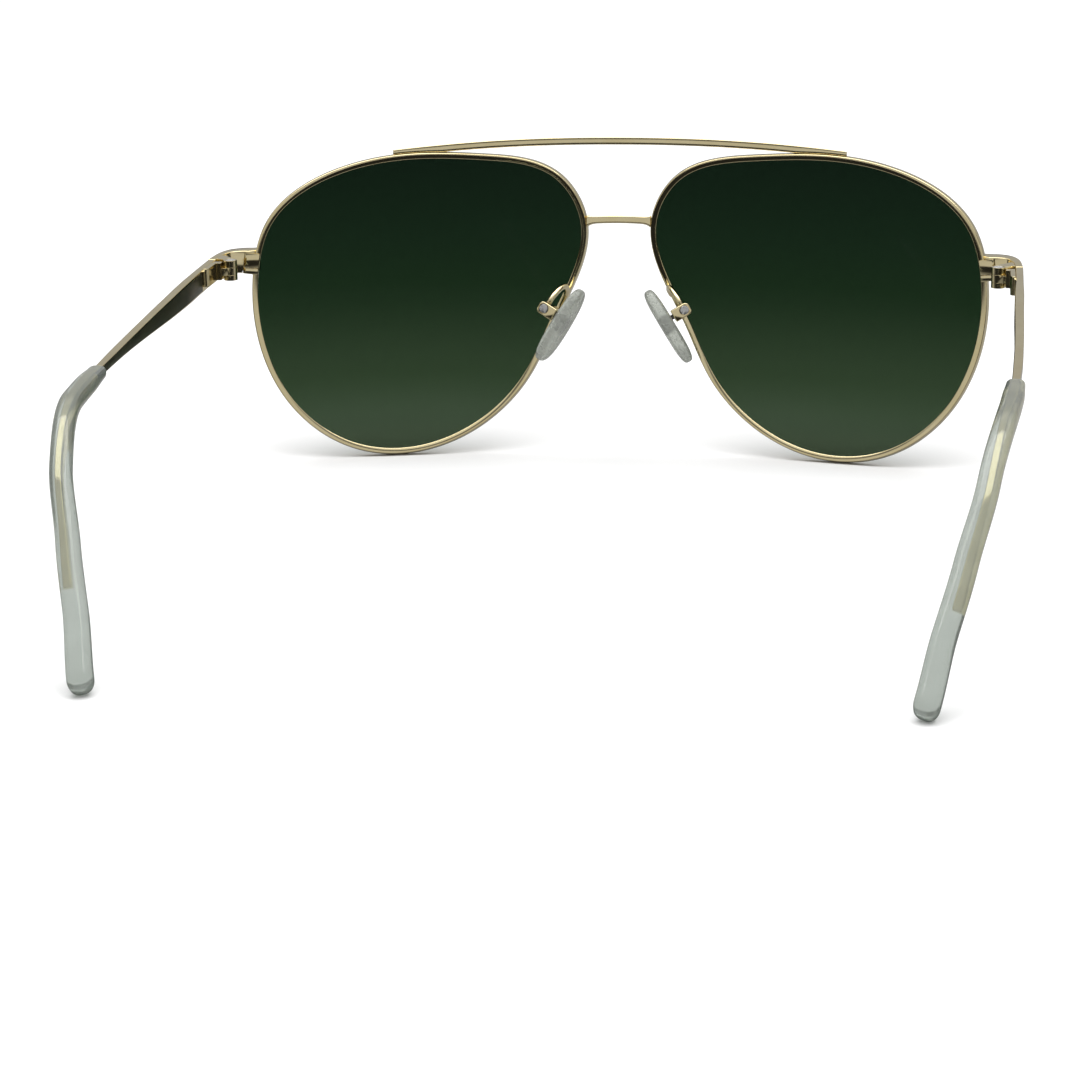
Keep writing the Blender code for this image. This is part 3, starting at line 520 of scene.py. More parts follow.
# %% Laying the wire on the front
def on_wire(point):
    """Lay a point of the rim on the front; the wire leans half as much as the lens."""
    u, v, w = point
    nearest = OUTLINE[int(np.argmin(np.hypot(OUTLINE[:, 0] - u, OUTLINE[:, 1] - v)))]
    excess = (front_depth(u, v) - front_depth(*nearest)) / 2
    return on_front(point) - lean_back(0, 0, excess)

# %% [markdown]
# ## Rims
# A rim is a wire with a nearly square section, closed round the lens. A curve with a
# square profile could make it, but its corners twist where the bend tightens. So the
# outline becomes one flat face, an inset leaves a ring of the wire's width, solidify gives
# its depth, and a bevel rounds the long edges before the ring is laid on the curve.

# %% Flat stock with the rim's outline
def flat_outline():
    bm = bmesh.new()
    verts = [bm.verts.new((u, v, 0)) for u, v in OUTLINE]
    bm.faces.new(verts)
    bm.normal_update()
    return bm


def inset_face(bm, face, thickness):
    """Inset one face and give back the ring round it."""
    result = bmesh.ops.inset_region(bm, faces=[face], thickness=thickness, depth=0,
                                    use_even_offset=True, use_boundary=True)
    return result["faces"]


def flatten_between(bm, low, high):
    """Slide a plate so that it lies exactly between two depths."""
    bottom = min(v.co.z for v in bm.verts)
    top = max(v.co.z for v in bm.verts)
    for vert in bm.verts:
        vert.co.z = low + (vert.co.z - bottom) / (top - bottom) * (high - low)


# %% Make the two rims
RIM_ROUNDING = 0.15


def make_rim(name, side):
    bm = flat_outline()
    middle = bm.faces[:][0]
    inset_face(bm, middle, RIM_WIDTH)
    bmesh.ops.delete(bm, geom=[middle], context="FACES_ONLY")
    bm.normal_update()
    bmesh.ops.solidify(bm, geom=bm.faces[:], thickness=RIM_DEPTH)
    flatten_between(bm, -RIM_DEPTH, 0)
    bmesh.ops.recalc_face_normals(bm, faces=bm.faces)
    round_edges(bm, sharp_edges(bm), RIM_ROUNDING, 3)
    move_points(bm, on_wire)
    make_piece(f"rim_wire_{name}", bm, side, "front", [f"rim_{name}"], [GOLD])


for side_name, side in SIDES:
    make_rim(side_name, side)
report("rims")

# %% [markdown]
# ## Lenses
# The lens fills the rim and follows the same curve, so it is the same outline inset by the
# wire's width. It could be cut out of a ball, but then its edge would need fitting to the
# rim. Here its middle is filled with rings that shrink toward the centre, because a curved
# sheet needs points all over to bend smoothly, and the edge stays exactly in the rim.

# %% Make the two lenses
LENS_THICKNESS = 1.6
LENS_RINGS = 16
LENS_LAP = 0.05


def make_lens(name, side):
    bm = flat_outline()
    middle = bm.faces[:][0]
    ring = inset_face(bm, middle, RIM_WIDTH - LENS_LAP)
    bmesh.ops.delete(bm, geom=ring, context="FACES")
    middle = bm.faces[:][0]
    edges = middle.edges[:]
    bmesh.ops.delete(bm, geom=[middle], context="FACES_ONLY")
    for step in range(LENS_RINGS, 1, -1):
        made = bmesh.ops.extrude_edge_only(bm, edges=edges)["geom"]
        verts = [g for g in made if isinstance(g, bmesh.types.BMVert)]
        edges = [g for g in made if isinstance(g, bmesh.types.BMEdge)]
        share = (step - 1) / step
        bmesh.ops.scale(bm, vec=(share, share, 1), verts=verts)
    cap = bmesh.ops.contextual_create(bm, geom=edges)["faces"]
    bmesh.ops.poke(bm, faces=cap)
    bmesh.ops.recalc_face_normals(bm, faces=bm.faces)
    bm.normal_update()
    bmesh.ops.solidify(bm, geom=bm.faces[:], thickness=LENS_THICKNESS)
    back = -RIM_DEPTH / 2 + LENS_THICKNESS / 2
    flatten_between(bm, back - LENS_THICKNESS, back)
    move_points(bm, on_front)
    make_piece(f"lens_glass_{name}", bm, side, "front", [f"lens_{name}"], [LENS])


for side_name, side in SIDES:
    make_lens(side_name, side)
report("lenses")

# %% [markdown]
# ## Brow bar and bridge
# The brow bar is a flat strip soldered on top of both rims; its underside runs into them
# near its ends. The bridge is a shorter rod whose ends flare where the solder has run.
# Sweeping a section along a curve would also do, but it can't thin the bar over the rims.
# Both start as straight stock and are bent point by point, as the real ones are.

# %% Make the brow bar
BAR_HALF = 39.8
BAR_TOP = 31.25
BAR_DROP = 2.4
BAR_HEIGHT = 1.3
BAR_DEPTH = 1.4
BAR_SETBACK = 3.4
BAR_END_SETBACK = 1.5
SOLDER = 0.2

upper_rim = OUTLINE[OUTLINE[:, 1] > 20]
upper_rim = upper_rim[np.argsort(upper_rim[:, 0])]


def rim_top(across):
    """Height of the rim under a place on the bar, or far below where there is none."""
    u = abs(across) - LENS_CENTRE_X
    if not upper_rim[0, 0] < u < upper_rim[-1, 0]:
        return -100.0
    return float(np.interp(u, upper_rim[:, 0], upper_rim[:, 1]))


def bend_bar(point):
    across, w, v = point
    reach = abs(across) / 40
    top = BAR_TOP - BAR_DROP * reach**2.2
    bottom = max(top - BAR_HEIGHT, rim_top(across) + SOLDER)
    height = top - (BAR_HEIGHT / 2 - v) * (top - bottom) / BAR_HEIGHT
    return lean_back(across, height, BAR_SETBACK + BAR_END_SETBACK * reach**6 + w)


bar = straight_bar(2 * BAR_HALF, BAR_DEPTH, BAR_HEIGHT, 90, 0.16)
move_points(bar, bend_bar)
make_piece("brow_bar_strip", bar, 1, "front", ["brow_bar"], [GOLD])
report("brow bar")

# %% Make the bridge
BRIDGE_HALF = 5.7
BRIDGE_V = 16.95
BRIDGE_HEIGHT = 1.35
BRIDGE_FLARE = 0.5
BRIDGE_DEPTH = 1.3
BRIDGE_SETBACK = 2.4


def bend_bridge(point):
    across, w, v = point
    reach = abs(across) / BRIDGE_HALF
    grow = 1 + 2 * BRIDGE_FLARE / BRIDGE_HEIGHT * reach**10
    middle = BRIDGE_V - 0.2 * reach**2 - 0.15 * reach**10
    return lean_back(across, middle + v * grow, BRIDGE_SETBACK + w * (1 + 0.15 * reach**10))


bridge = straight_bar(2 * BRIDGE_HALF, BRIDGE_DEPTH, BRIDGE_HEIGHT, 40, 0.6, 7)
move_points(bridge, bend_bridge)
make_piece("bridge_rod", bridge, 1, "front", ["bridge"], [GOLD])
report("bridge")

# %% [markdown]
# ## Small machined parts
# The hinge knuckles, sliders, spring boxes and screws already have their true shape in the
# frame, but with razor edges. A real one is tumbled, so its edges are just broken and
# catch a line of light. Drawing them again would risk a gap in the hinge. So a copy is
# merged, its flat faces are joined, and a fine bevel modifier breaks its edges.

# %% Copies with broken edges
def refined(node, body, material, width, smooth=35.0):
    """Stand a finer copy in for a node; width is the broken edge's, in millimetres."""
    bm = bmesh.new()
    bm.from_mesh(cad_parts[node].data)
    bmesh.ops.remove_doubles(bm, verts=bm.verts, dist=1e-7)
    bmesh.ops.dissolve_limit(bm, angle_limit=math.radians(1.0), verts=bm.verts, edges=bm.edges)
    mesh = bpy.data.meshes.new(f"{node}_smooth")
    bm.to_mesh(mesh)
    bm.free()
    mesh.materials.clear()
    mesh.materials.append(material)
    mesh.shade_smooth()
    mesh.set_sharp_from_angle(angle=math.radians(smooth))
    piece = put_in_scene(f"{node}_smooth", mesh)
    made_pieces.append(piece.name)
    edge = piece.modifiers.new("broken edges", "BEVEL")
    edge.width = width * MM
    edge.segments = 2
    edge.limit_method = "ANGLE"
    edge.angle_limit = math.radians(smooth)
    edge.harden_normals = True
    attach(piece, body)
    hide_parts(node)


for side_name, side in SIDES:
    for node, body, slot, material, width in (
            ("front_hinge", "front", "gold", GOLD, 0.09),
            ("rim_lock_screw", "front", "screw_steel", STEEL, 0.04),
            ("hinge_slider", f"slider_body_{side_name}", "gold", GOLD, 0.09),
            ("spring_box", f"temple_arm_{side_name}", "gold", GOLD, 0.12),
            ("hinge_screw", "front", "screw_steel", STEEL, 0.05)):
        refined(f"{node}_{side_name}", body, material, width)
    for node in ("hinge_spring", "spring_stop"):
        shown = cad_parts[f"{node}_{side_name}"]
        shown.data.materials.clear()
        shown.data.materials.append(STEEL)
report("machined parts")

# %% [markdown]
# ## End pieces
# An end piece carries the front round to the hinge. It is bent from strip, so its plan is
# a smooth hook with the same thickness all along. A swept curve would round its ends; a
# plan raised to the strip's height keeps them square. The room for the block that closes
# the rim is then cut out of its corner.

# %% The plan of the hook
END_OUTER = ((63.4, 5.3), (64.6, 5.6), (66.4, 5.9), (68.0, 7.0), (69.15, 8.9), (69.8, 11.6),
             (70.16, 15.95))
END_INNER = ((68.86, 15.95), (68.62, 12.4), (68.1, 10.6), (67.2, 9.4), (65.6, 8.9),
             (64.6, 8.9), (63.6, 8.1))
END_BACK = 15.95
END_TAPER = 8.0
LOW_AT_TEMPLE, LOW_AT_RIM = 9.12, 8.75
HIGH_AT_TEMPLE, HIGH_AT_RIM = 12.48, 12.65


def open_spline(points, count):
    """Points along a smooth open curve."""
    pts = [Vector(p) for p in points]
    pts = [pts[0] * 2 - pts[1]] + pts + [pts[-1] * 2 - pts[-2]]
    curve = []
    spans = len(pts) - 3
    for k in range(count):
        t = spans * k / (count - 1)
        i = min(int(t), spans - 1)
        t -= i
        a, b, c, d = pts[i:i + 4]
        curve.append(((b * 2) + (c - a) * t + (a * 2 - b * 5 + c * 4 - d) * t**2
                      + (b * 3 - a - c * 3 + d) * t**3) * 0.5)
    return curve


def lower_end(point):
    """Taper the strip toward the temple and let it lean with the front."""
    forward = max(0.0, min(1.0, (END_BACK - point.y) / END_TAPER))
    share = (point.z + 1) / 2
    low = LOW_AT_TEMPLE + (LOW_AT_RIM - LOW_AT_TEMPLE) * forward
    high = HIGH_AT_TEMPLE + (HIGH_AT_RIM - HIGH_AT_TEMPLE) * forward
    z = low * (1 - share) + high * share
    return Vector((point.x, point.y - math.tan(LEAN) * (z - HINGE.z) * forward, z))


print("hook:", len(END_OUTER), "points outside,", len(END_INNER), "inside")


# %% The place of the rim's seam
def seam_frame():
    """Turn and shift that take (outward, rearward, along the wire) to the rim's seam."""
    u, v = RIM_OUTLINE[0]
    middle = on_front(Vector((u, v, -RIM_DEPTH / 2)))
    back = (on_front(Vector((u, v, 0))) - middle).normalized()
    near = on_front(Vector((*OUTLINE[1], -RIM_DEPTH / 2)))
    far = on_front(Vector((*OUTLINE[-1], -RIM_DEPTH / 2)))
    along = (near - far).normalized()
    out = back.cross(along).normalized()
    return Matrix.Translation(middle) @ Matrix((out, back, along)).transposed().to_4x4()


SEAM = seam_frame()
print("seam of the rim, mm:", [round(v, 2) for v in SEAM.translation])

# %% The block that closes the rim
BLOCK_REAR = RIM_DEPTH / 2 + 0.12
HOOK_REAR = BLOCK_REAR + 0.35
HOOK_REACH = -0.85
WIRE_SIDE = 0.06
BLOCK_WIDTH = 1.75
BLOCK_SECTION = ((HOOK_REACH, HOOK_REAR), (HOOK_REACH, BLOCK_REAR), (WIRE_SIDE, BLOCK_REAR),
                 (WIRE_SIDE, -RIM_DEPTH / 2), (BLOCK_WIDTH, -RIM_DEPTH / 2),
                 (BLOCK_WIDTH, HOOK_REAR))
BLOCK_HALVES = (("upper", 0.06, 2.6), ("lower", -1.1, -0.06))
BLOCK_ROOM = ((-4.0, -1.2, -5.0), (1.81, 3.37, 2.66))


def closing_block(low, high):
    """One half of the block that clamps the rim shut, hooked over the wire's rear face."""
    bm = prism(BLOCK_SECTION, low, high)
    outer = [e for e in bm.edges if abs(e.verts[0].co.z - e.verts[1].co.z) > 0.1
             and e.verts[0].co.x > 1 and e.verts[0].co.y > 1]
    round_edges(bm, outer, 0.45, 4)
    round_edges(bm, sharp_edges(bm, 60), 0.07, 2)
    bmesh.ops.transform(bm, matrix=SEAM, verts=bm.verts)
    return bm


def block_cutter():
    """The room that the closing block takes out of the end piece."""
    bm = block(*BLOCK_ROOM)
    bmesh.ops.transform(bm, matrix=SEAM, verts=bm.verts)
    bmesh.ops.recalc_face_normals(bm, faces=bm.faces)
    return bm


# %% Make the end pieces and their blocks
def make_end_piece(name, side):
    plan = [curve_point.to_tuple() for corners in (END_OUTER, END_INNER)
            for curve_point in open_spline(corners, 40)]
    blank = prism(plan, -1, 1)
    move_points(blank, lower_end)
    bmesh.ops.recalc_face_normals(blank, faces=blank.faces)
    round_edges(blank, sharp_edges(blank, 60), 0.16, 3)
    shaped = cut_away(blank, block_cutter())
    make_piece(f"end_hook_{name}", shaped, side, "front", [f"end_piece_{name}"], [GOLD])


for side_name, side in SIDES:
    make_end_piece(side_name, side)
    for half, low_end, high_end in BLOCK_HALVES:
        make_piece(f"closing_block_{half}_{side_name}", closing_block(low_end, high_end), side,
                   "front", [f"rim_lock_{half}_{side_name}"], [GOLD])
report("end pieces")

# %% [markdown]
# ## Pad arms
# Each pad arm is a soft wire that leaves the rim, loops up and comes back to the pad box,
# so that a fitter can bend it. A rod bent with bmesh steps would need its turns worked out;
# a curve with a round section is the plain way to make wire, and is then made a mesh.

# %% Bend the pad arms
ARM_ROUTE = ((9.35, 0.62, 4.0), (9.05, 1.9, 5.05), (9.2, 3.4, 5.8), (9.75, 4.9, 5.8),
             (10.6, 6.2, 5.0), (11.21, 6.85, 4.2), (11.59, 6.91, 3.6))
ARM_RADIUS = 0.5


def wire(points, radius):
    """Sweep a round section along points and give the mesh back for working."""
    curve = bpy.data.curves.new("wire", "CURVE")
    curve.dimensions = "3D"
    curve.bevel_depth = radius
    curve.bevel_resolution = 4
    curve.use_fill_caps = True
    line = curve.splines.new("POLY")
    line.points.add(len(points) - 1)
    for spot, place in zip(line.points, points):
        spot.co = (*place, 1)
    holder = put_in_scene("wire", curve)
    mesh = bpy.data.meshes.new_from_object(
        holder.evaluated_get(bpy.context.evaluated_depsgraph_get()))
    bm = bmesh.new()
    bm.from_mesh(mesh)
    bmesh.ops.remove_doubles(bm, verts=bm.verts, dist=1e-4)
    bpy.data.objects.remove(holder)
    bpy.data.curves.remove(curve)
    bpy.data.meshes.remove(mesh)
    return bm


for side_name, side in SIDES:
    arm = wire(open_spline(ARM_ROUTE, 48), ARM_RADIUS)
    make_piece(f"pad_wire_{side_name}", arm, side, "front", [f"pad_arm_{side_name}"],
               [GOLD])
report("pad arms")

# %% [markdown]
# ## Nose pads
# A pad is a soft drop of silicone: a rounded outline, wider below and thin through. It
# could be sculpted or subdivided from a block, but a ball squashed with squared-off curves
# gives that pillow shape in one step, closed and even all round.

# %% Directions at the pad screw
PAD_SCREW = Vector((12.2, 7.0, 2.6))
PAD_TILT = math.radians(31.4)
PAD_SPLAY = math.radians(12.0)
PAD_LENGTH = 14.4
PAD_WIDTH = 7.6
PAD_THICKNESS = 2.5
PAD_OFFSET = 3.85
PAD_SHIFT = -1.0
PAD_WIDENING = 0.10

pad_up = Vector((-math.sin(PAD_TILT), -0.08, math.cos(PAD_TILT))).normalized()
flat_way = Vector((-math.cos(PAD_TILT), 0, -math.sin(PAD_TILT)))
toward = flat_way * math.cos(PAD_SPLAY) + Vector((0, 1, 0)) * math.sin(PAD_SPLAY)
pad_back = toward.cross(pad_up).normalized()
pad_back = pad_back if pad_back.y > 0 else -pad_back
pad_toward = pad_up.cross(pad_back).normalized()
pad_toward = pad_toward if pad_toward.x < 0 else -pad_toward
PAD_TURN = (Matrix.Translation(PAD_SCREW)
            @ Matrix((pad_up, pad_toward, pad_back)).transposed().to_4x4())
print("the pad faces", [round(v, 2) for v in pad_toward])


# %% Make the two pads
def signed_power(value, power):
    return math.copysign(abs(value) ** power, value)


def pad_surface(point):
    """Take a point of a unit ball to the pillow shape of the pad."""
    around = math.atan2(point.y, point.x)
    rise = math.asin(max(-1.0, min(1.0, point.z)))
    reach = abs(math.cos(rise)) ** 0.5
    through = signed_power(math.sin(rise), 0.6) * PAD_THICKNESS / 2
    up = PAD_SHIFT + PAD_LENGTH / 2 * signed_power(math.sin(around), 0.9) * reach
    width = PAD_WIDTH / 2 * (1 - PAD_WIDENING * math.sin(around))
    back = width * signed_power(math.cos(around), 0.8) * reach
    return PAD_SCREW + pad_up * up + pad_toward * (PAD_OFFSET + through) + pad_back * back


for side_name, side in SIDES:
    pad = bmesh.new()
    bmesh.ops.create_uvsphere(pad, u_segments=64, v_segments=36, radius=1.0)
    move_points(pad, pad_surface)
    make_piece(f"pad_silicone_{side_name}", pad, side, f"pad_body_{side_name}",
               [f"nose_pad_{side_name}"], [SILICONE], smooth=80)
report("nose pads")

# %% [markdown]
# ## Pad boxes
# The pad hangs in a small box at the end of its arm, on a slotted screw with a plain shank.
# The box is a block with a rounded back, a pocket for the pad's stem and a sunk seat that
# leaves a dark ring round the screw's head. A wide plate inside the silicone holds it.
# The pocket and seat could be insets pushed inwards, but a cut stays true when the block's
# edges are already round. Lengths run along the pad, toward the nose and to the rear.

# %% Shapes of the box, screw and insert
PAD_BOX = ((-1.1, -1.1, -1.2), (1.1, 2.2, 1.35))
PAD_POCKET = ((-0.76, -0.72, -0.85), (0.76, 4.0, 0.85))
SEAT_RADIUS, SEAT_FLOOR = 0.92, 0.7
HEAD_RADIUS, HEAD_FROM, HEAD_TO = 0.76, 0.75, 1.38
HEAD_SLOT = ((-0.16, -1.0, 1.1), (0.16, 1.0, 2.0))
HEAD_TURN = math.radians(35)
INSERT_PLATE = ((-2.2, PAD_OFFSET - 0.35, -1.2), (0.9, PAD_OFFSET + 0.35, 1.2))
INSERT_STEM = ((-0.4, -0.3, -0.7), (0.4, PAD_OFFSET, 0.7))


def pad_box():
    """A rounded block with a pocket through its open side and a seat for the screw."""
    bm = block(*PAD_BOX)
    back_edges = [e for e in bm.edges if all(v.co.y < -1 for v in e.verts)
                  and abs(e.verts[0].co.z - e.verts[1].co.z) > 1]
    round_edges(bm, back_edges, 0.75, 8)
    round_edges(bm, sharp_edges(bm, 60), 0.16, 3)
    bm = cut_away(bm, block(*PAD_POCKET))
    return cut_away(bm, rod(SEAT_RADIUS, SEAT_FLOOR, 2.0))


def pad_screw():
    """A slotted head that lies sunk in the box's seat."""
    bm = rod(HEAD_RADIUS, HEAD_FROM, HEAD_TO)
    round_edges(bm, sharp_edges(bm, 60), 0.07, 3)
    bm = cut_away(bm, block(*HEAD_SLOT))
    bmesh.ops.rotate(bm, cent=(0, 0, 0), matrix=Matrix.Rotation(HEAD_TURN, 3, "Z"),
                     verts=bm.verts)
    return bm


def pad_insert():
    """The plate inside the silicone with the stem that reaches into the box."""
    bm = block(*INSERT_PLATE)
    round_edges(bm, sharp_edges(bm, 60), 0.3, 4)
    stem = block(*INSERT_STEM)
    mesh = bpy.data.meshes.new("stem")
    stem.to_mesh(mesh)
    stem.free()
    bm.from_mesh(mesh)
    bpy.data.meshes.remove(mesh)
    return bm


# %% Make the boxes, screws and inserts
for side_name, side in SIDES:
    for name, shape, body, slot, material in (
            ("pad_box", pad_box(), "front", "gold", GOLD),
            ("pad_screw", pad_screw(), "front", "screw_steel", STEEL),
            ("pad_insert", pad_insert(), f"pad_body_{side_name}", "insert", INSERT)):
        bmesh.ops.transform(shape, matrix=PAD_TURN, verts=shape.verts)
        make_piece(f"{name}_worked_{side_name}", shape, side, body,
                   [f"{name}_{side_name}"], [material])
report("pad boxes")

# %% [markdown]
# ## Temples
# A temple is one strip of metal: tall at the hinge, slimmer toward the ear, bent down
# behind it, and drawn in toward the head. A curve modifier could bend it, but the strip
# also changes its height and thickness on the way. So it is made straight with all its
# cuts, then every point is carried to its place by its distance from the hinge.

# %% Sizes of the temple, by the distance behind the hinge
TEMPLE_START = 16.05
STRIP_START = TEMPLE_START - HINGE.y
TEMPLE_X = 69.53
TEMPLE_LENGTH = 140.0
TEMPLE_SLOPE = math.radians(1.3)
BEND_START = 89.0
BEND_RADIUS = 24.0
BEND_ANGLE = math.radians(49.8)
TIP_INSET = 11.9
SETTLE = (9.0, 30.0)
SETTLE_INSET = 0.2
INSET_POWER = 3.4
TEMPLE_DROP = 0.3
DROP_END = 60.0
INSET_START = 20.0
CORE_END = 125.0
SLEEVE_START = 72.0
CORE_INBOARD = ((82, 0.0), (106, 0.3), (118, 0.8), (126, 0.85))
TEMPLE_HEIGHT = ((0, 3.9), (10, 3.95), (72, 1.45), (126, 1.2))
CORE_THICKNESS = ((0, 1.3), (9, 1.3), (20, 1.55), (60, 1.4), (74, 1.2), (96, 0.85),
                  (112, 0.85), (124, 1.0))
SLEEVE_HEIGHT = ((72, 2.2), (82, 3.0), (100, 3.3), (130, 3.8), (141, 4.0))
SLEEVE_THICKNESS = ((72, 2.8), (80, 3.2), (100, 3.2), (126, 3.5), (138, 3.7))
SLEEVE_INBOARD = ((72, 0.0), (90, 0.0), (106, 0.5), (118, 1.15), (128, 1.3), (141, 0.35))


def read_table(s, table):
    """Size at a length s, eased between the rows of a table."""
    for (start, first), (end, second) in zip(table, table[1:]):
        if s <= end:
            share = min(1.0, max(0.0, (s - start) / (end - start)))
            return first + (second - first) * share * share * (3 - 2 * share)
    return table[-1][1]


print("strip height half way, mm:", round(read_table(TEMPLE_LENGTH / 2, TEMPLE_HEIGHT), 2))


# %% The line of the temple
def temple_inset(s):
    settle = min(1.0, max(0.0, (s - SETTLE[0]) / (SETTLE[1] - SETTLE[0])))
    reach = max(s - INSET_START, 0.0) / (TEMPLE_LENGTH - INSET_START)
    return SETTLE_INSET * settle + TIP_INSET * reach**INSET_POWER


def temple_line(s):
    """Middle of the temple at a length s behind the hinge, with its three directions."""
    first = min(s, BEND_START)
    turn = min(max(s - BEND_START, 0.0), BEND_RADIUS * BEND_ANGLE)
    last = max(s - BEND_START - BEND_RADIUS * BEND_ANGLE, 0.0)
    angle = TEMPLE_SLOPE + turn / BEND_RADIUS
    end = TEMPLE_SLOPE + BEND_ANGLE
    y = HINGE.y + first * math.cos(TEMPLE_SLOPE)
    z = HINGE.z - first * math.sin(TEMPLE_SLOPE) - TEMPLE_DROP * max(0.0, 1 - s / DROP_END)
    y += BEND_RADIUS * (math.sin(angle) - math.sin(TEMPLE_SLOPE)) + last * math.cos(end)
    z -= BEND_RADIUS * (math.cos(TEMPLE_SLOPE) - math.cos(angle)) + last * math.sin(end)
    inward = temple_inset(s + 0.5) - temple_inset(s - 0.5)
    along = Vector((-inward, math.cos(angle), -math.sin(angle))).normalized()
    across = along.cross(Vector((0, math.sin(angle), math.cos(angle)))).normalized()
    up = across.cross(along).normalized()
    return Vector((TEMPLE_X - temple_inset(s), y, z)), across, up


print("end of the temple, mm:", [round(v, 1) for v in temple_line(TEMPLE_LENGTH)[0]])

# %% Make the two temples
LACQUER_FROM, LACQUER_TO = 8.6, 78.0
STOCK_THICKNESS, STOCK_HEIGHT = 1.3, 2.6
STRIP_EDGE = 0.22


def strip_to_temple(point):
    """X of the straight stock is the length, Y its thickness and Z its height."""
    s = STRIP_START + point.x
    middle, across, up = temple_line(s)
    out = point.y * read_table(s, CORE_THICKNESS)
    rise = point.z * read_table(s, TEMPLE_HEIGHT)
    return middle + across * (out - read_table(s, CORE_INBOARD)) + up * rise


def make_temple(name, side):
    length = CORE_END - STRIP_START
    bm = straight_bar(length, STOCK_THICKNESS, STOCK_HEIGHT, 150, STRIP_EDGE)
    bmesh.ops.translate(bm, vec=(length / 2, 0, 0), verts=bm.verts)
    bmesh.ops.scale(bm, vec=(1, 1 / STOCK_THICKNESS, 1 / STOCK_HEIGHT), verts=bm.verts)
    for face in bm.faces:
        middle = face.calc_center_median()
        inner = middle.y < -0.49
        if inner and LACQUER_FROM < middle.x + STRIP_START < LACQUER_TO:
            face.material_index = 1
    move_points(bm, strip_to_temple)
    make_piece(f"temple_strip_{name}", bm, side, f"temple_arm_{name}",
               [f"temple_{name}"], [GOLD, LACQUER])


for side_name, side in SIDES:
    make_temple(side_name, side)
report("temples")

# %% [markdown]
# ## Temple tips
# The tip is moulded plastic with the core running down its outer side, and it swells
# toward a rounded end. Sections bridged one by one would need two caps. A ball drawn out
# along the temple's line does without: its poles become the two rounded ends.

# %% Sections of the tip
TIP_ROUND = 1.9
MOUTH_ROUND = 1.1


def tip_sections():
    """Lengths and their share of the full section, close together near both ends."""
    rows = []
    for k in range(1, 12):
        turn = math.pi / 2 * k / 12
        rows.append((SLEEVE_START + MOUTH_ROUND * (1 - math.cos(turn)),
                     math.sin(turn) ** 0.8))
    full = np.linspace(SLEEVE_START + MOUTH_ROUND, TEMPLE_LENGTH - TIP_ROUND, 96)
    rows += [(float(s), 1.0) for s in full]
    for k in range(11, 0, -1):
        turn = math.pi / 2 * k / 12
        rows.append((TEMPLE_LENGTH - TIP_ROUND * (1 - math.cos(turn)), math.sin(turn) ** 0.7))
    return rows


TIP_ROWS = tip_sections()
print("tip:", len(TIP_ROWS), "sections")


# %% Make the two tips
def ball_to_tip(point):
    """Latitude picks the section along the tip, longitude the point round it."""
    latitude = math.acos(max(-1.0, min(1.0, point.z))) / math.pi
    row = latitude * (len(TIP_ROWS) + 1)
    k = int(round(row)) - 1
    if k < 0 or k >= len(TIP_ROWS):
        s = SLEEVE_START if k < 0 else TEMPLE_LENGTH
        middle, across, up = temple_line(s)
        return middle - across * read_table(s, SLEEVE_INBOARD)
    s, share = TIP_ROWS[k]
    middle, across, up = temple_line(s)
    around = math.atan2(point.y, point.x)
    out = read_table(s, SLEEVE_THICKNESS) / 2 * signed_power(math.cos(around), 0.75) * share
    rise = read_table(s, SLEEVE_HEIGHT) / 2 * signed_power(math.sin(around), 0.75) * share
    return middle + across * (out - read_table(s, SLEEVE_INBOARD)) + up * rise


for side_name, side in SIDES:
    tip = bmesh.new()
    bmesh.ops.create_uvsphere(tip, u_segments=48, v_segments=len(TIP_ROWS) + 1, radius=1.0)
    move_points(tip, ball_to_tip)
    make_piece(f"tip_plastic_{side_name}", tip, side, f"temple_arm_{side_name}",
               [f"temple_tip_{side_name}"], [TIP], smooth=80)
report("temple tips")

# %% [markdown]
# ## Floor, light and camera
# The glasses stand on a plain white floor. Polished metal shows whatever surrounds it, so
# the room is mostly white, with a darker band near the horizon that draws the dark lines
# in the gold, and mirrored rays see a darker floor toward the rear, as if it ended there.
# Many lamps could fill the shadows; one large soft lamp above keeps them short and pale.

# %% Floor
def make_floor():
    bm = bmesh.new()
    bmesh.ops.create_grid(bm, x_segments=1, y_segments=1, size=6.0)
    mesh = bpy.data.meshes.new("floor")
    bm.to_mesh(mesh)
    bm.free()
    material, tree, shader = new_finish("white floor")
    shader.inputs["Roughness"].default_value = 0.9
    shader.inputs["Specular IOR Level"].default_value = 0.0
    place = tree.nodes.new("ShaderNodeTexCoord")
    parts = tree.nodes.new("ShaderNodeSeparateXYZ")
    depth = tree.nodes.new("ShaderNodeMapRange")
    for name, value in (("From Min", -0.03), ("From Max", 0.05),
                        ("To Min", 0.28), ("To Max", 0.012)):
        depth.inputs[name].default_value = value
    ray = tree.nodes.new("ShaderNodeLightPath")
    bounced = tree.nodes.new("ShaderNodeMath")
    bounced.operation = "SUBTRACT"
    bounced.use_clamp = True
    mirrored = tree.nodes.new("ShaderNodeMix")
    mirrored.data_type = "FLOAT"
    mirrored.inputs["A"].default_value = 0.92
    tree.links.new(place.outputs["Object"], parts.inputs["Vector"])
    tree.links.new(parts.outputs["Y"], depth.inputs["Value"])
    tree.links.new(ray.outputs["Is Glossy Ray"], bounced.inputs[0])
    tree.links.new(ray.outputs["Is Transmission Ray"], bounced.inputs[1])
    tree.links.new(bounced.outputs["Value"], mirrored.inputs["Factor"])
    tree.links.new(depth.outputs["Result"], mirrored.inputs["B"])
    tree.links.new(mirrored.outputs["Result"], shader.inputs["Base Color"])
    mesh.materials.append(material)
    put_in_scene("floor", mesh)


make_floor()
print("floor laid at z = 0")

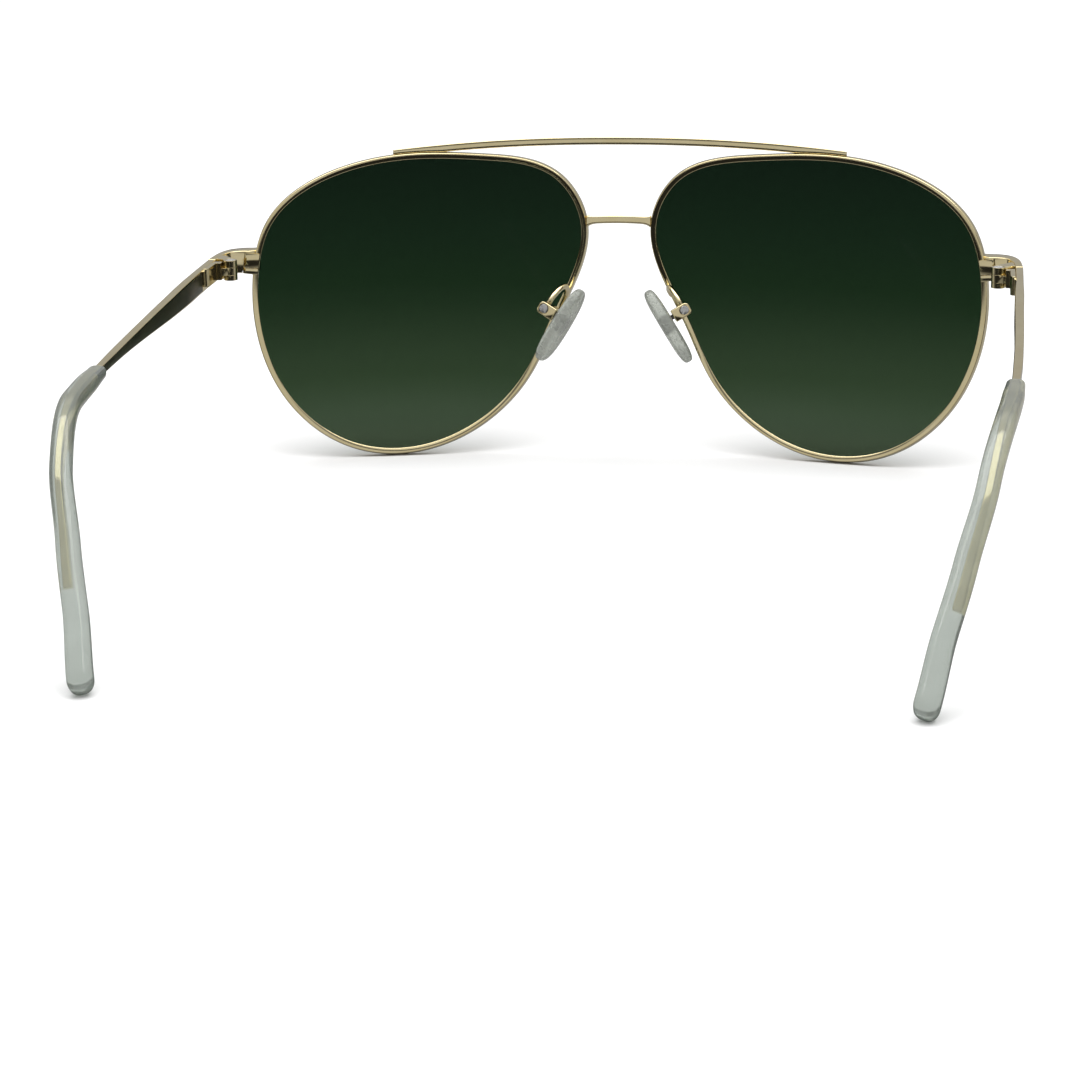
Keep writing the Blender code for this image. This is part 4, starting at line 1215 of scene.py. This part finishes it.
# %% Room light
AHEAD = ((0.0, 0.40), (0.45, 0.50), (0.6, 1.0), (1.0, 1.0))
BEHIND = ((0.0, 0.03), (0.04, 0.62), (0.30, 0.60), (0.35, 0.12), (0.42, 0.12), (0.5, 0.95),
          (1.0, 1.0))
ROOM_STRENGTH = 0.9


def grey_ramp(nodes, stops):
    return colour_ramp(nodes, [(position, (value,) * 3) for position, value in stops])


def make_room():
    """Pale backdrop in front; behind the camera a dark band under a pale ceiling."""
    world = bpy.data.worlds.new("studio room")
    bpy.context.scene.world = world
    world.use_nodes = True
    nodes, links = world.node_tree.nodes, world.node_tree.links
    background = nodes["Background"]
    direction = nodes.new("ShaderNodeTexCoord")
    parts = nodes.new("ShaderNodeSeparateXYZ")
    ahead = grey_ramp(nodes, AHEAD)
    behind = grey_ramp(nodes, BEHIND)
    depth = nodes.new("ShaderNodeMapRange")
    depth.inputs["From Min"].default_value = -0.1
    depth.inputs["From Max"].default_value = 0.1
    room = nodes.new("ShaderNodeMix")
    room.data_type = "RGBA"
    links.new(direction.outputs["Generated"], parts.inputs["Vector"])
    links.new(parts.outputs["Z"], ahead.inputs["Fac"])
    links.new(parts.outputs["Z"], behind.inputs["Fac"])
    links.new(parts.outputs["Y"], depth.inputs["Value"])
    links.new(depth.outputs["Result"], room.inputs["Factor"])
    links.new(ahead.outputs["Color"], room.inputs["A"])
    links.new(behind.outputs["Color"], room.inputs["B"])
    links.new(room.outputs["Result"], background.inputs["Color"])
    background.inputs["Strength"].default_value = ROOM_STRENGTH


# %% The lamp
def make_lamp(name, place, aim, size, power):
    lamp = bpy.data.lights.new(name, "AREA")
    lamp.shape = "RECTANGLE"
    lamp.size, lamp.size_y = size
    lamp.energy = power
    holder = put_in_scene(name, lamp)
    holder.location = place
    holder.rotation_euler = (Vector(aim) - Vector(place)).to_track_quat("-Z", "Y").to_euler()


make_room()
make_lamp("overhead softbox", (0.0, -0.1, 1.2), (0, -0.1, 0), (1.6, 1.2), 14.0)
bpy.context.scene.view_settings.view_transform = "Standard"
print("room and one lamp set")

# %% Camera
CAMERA_RIGHT = Vector((-0.9892, -0.1454, -0.0187))
CAMERA_UP = Vector((0.0225, -0.2763, 0.9608))
CAMERA_PLACE = Vector((-63.9, 517.7 + ORIGIN.y, 109.0 + ORIGIN.z))


def make_camera():
    camera = bpy.data.cameras.new("camera")
    camera.sensor_width = 36.0
    camera.lens = 100.0
    camera.clip_start = 0.01
    camera.clip_end = 50.0
    holder = put_in_scene("camera", camera)
    right = CAMERA_RIGHT.normalized()
    back = right.cross(CAMERA_UP.normalized()).normalized()
    up = back.cross(right).normalized()
    turn = Matrix((right, up, back)).transposed().to_4x4()
    holder.matrix_world = Matrix.Translation(CAMERA_PLACE * MM) @ turn
    bpy.context.scene.camera = holder


make_camera()
print("camera distance, mm:", round(CAMERA_PLACE.length))
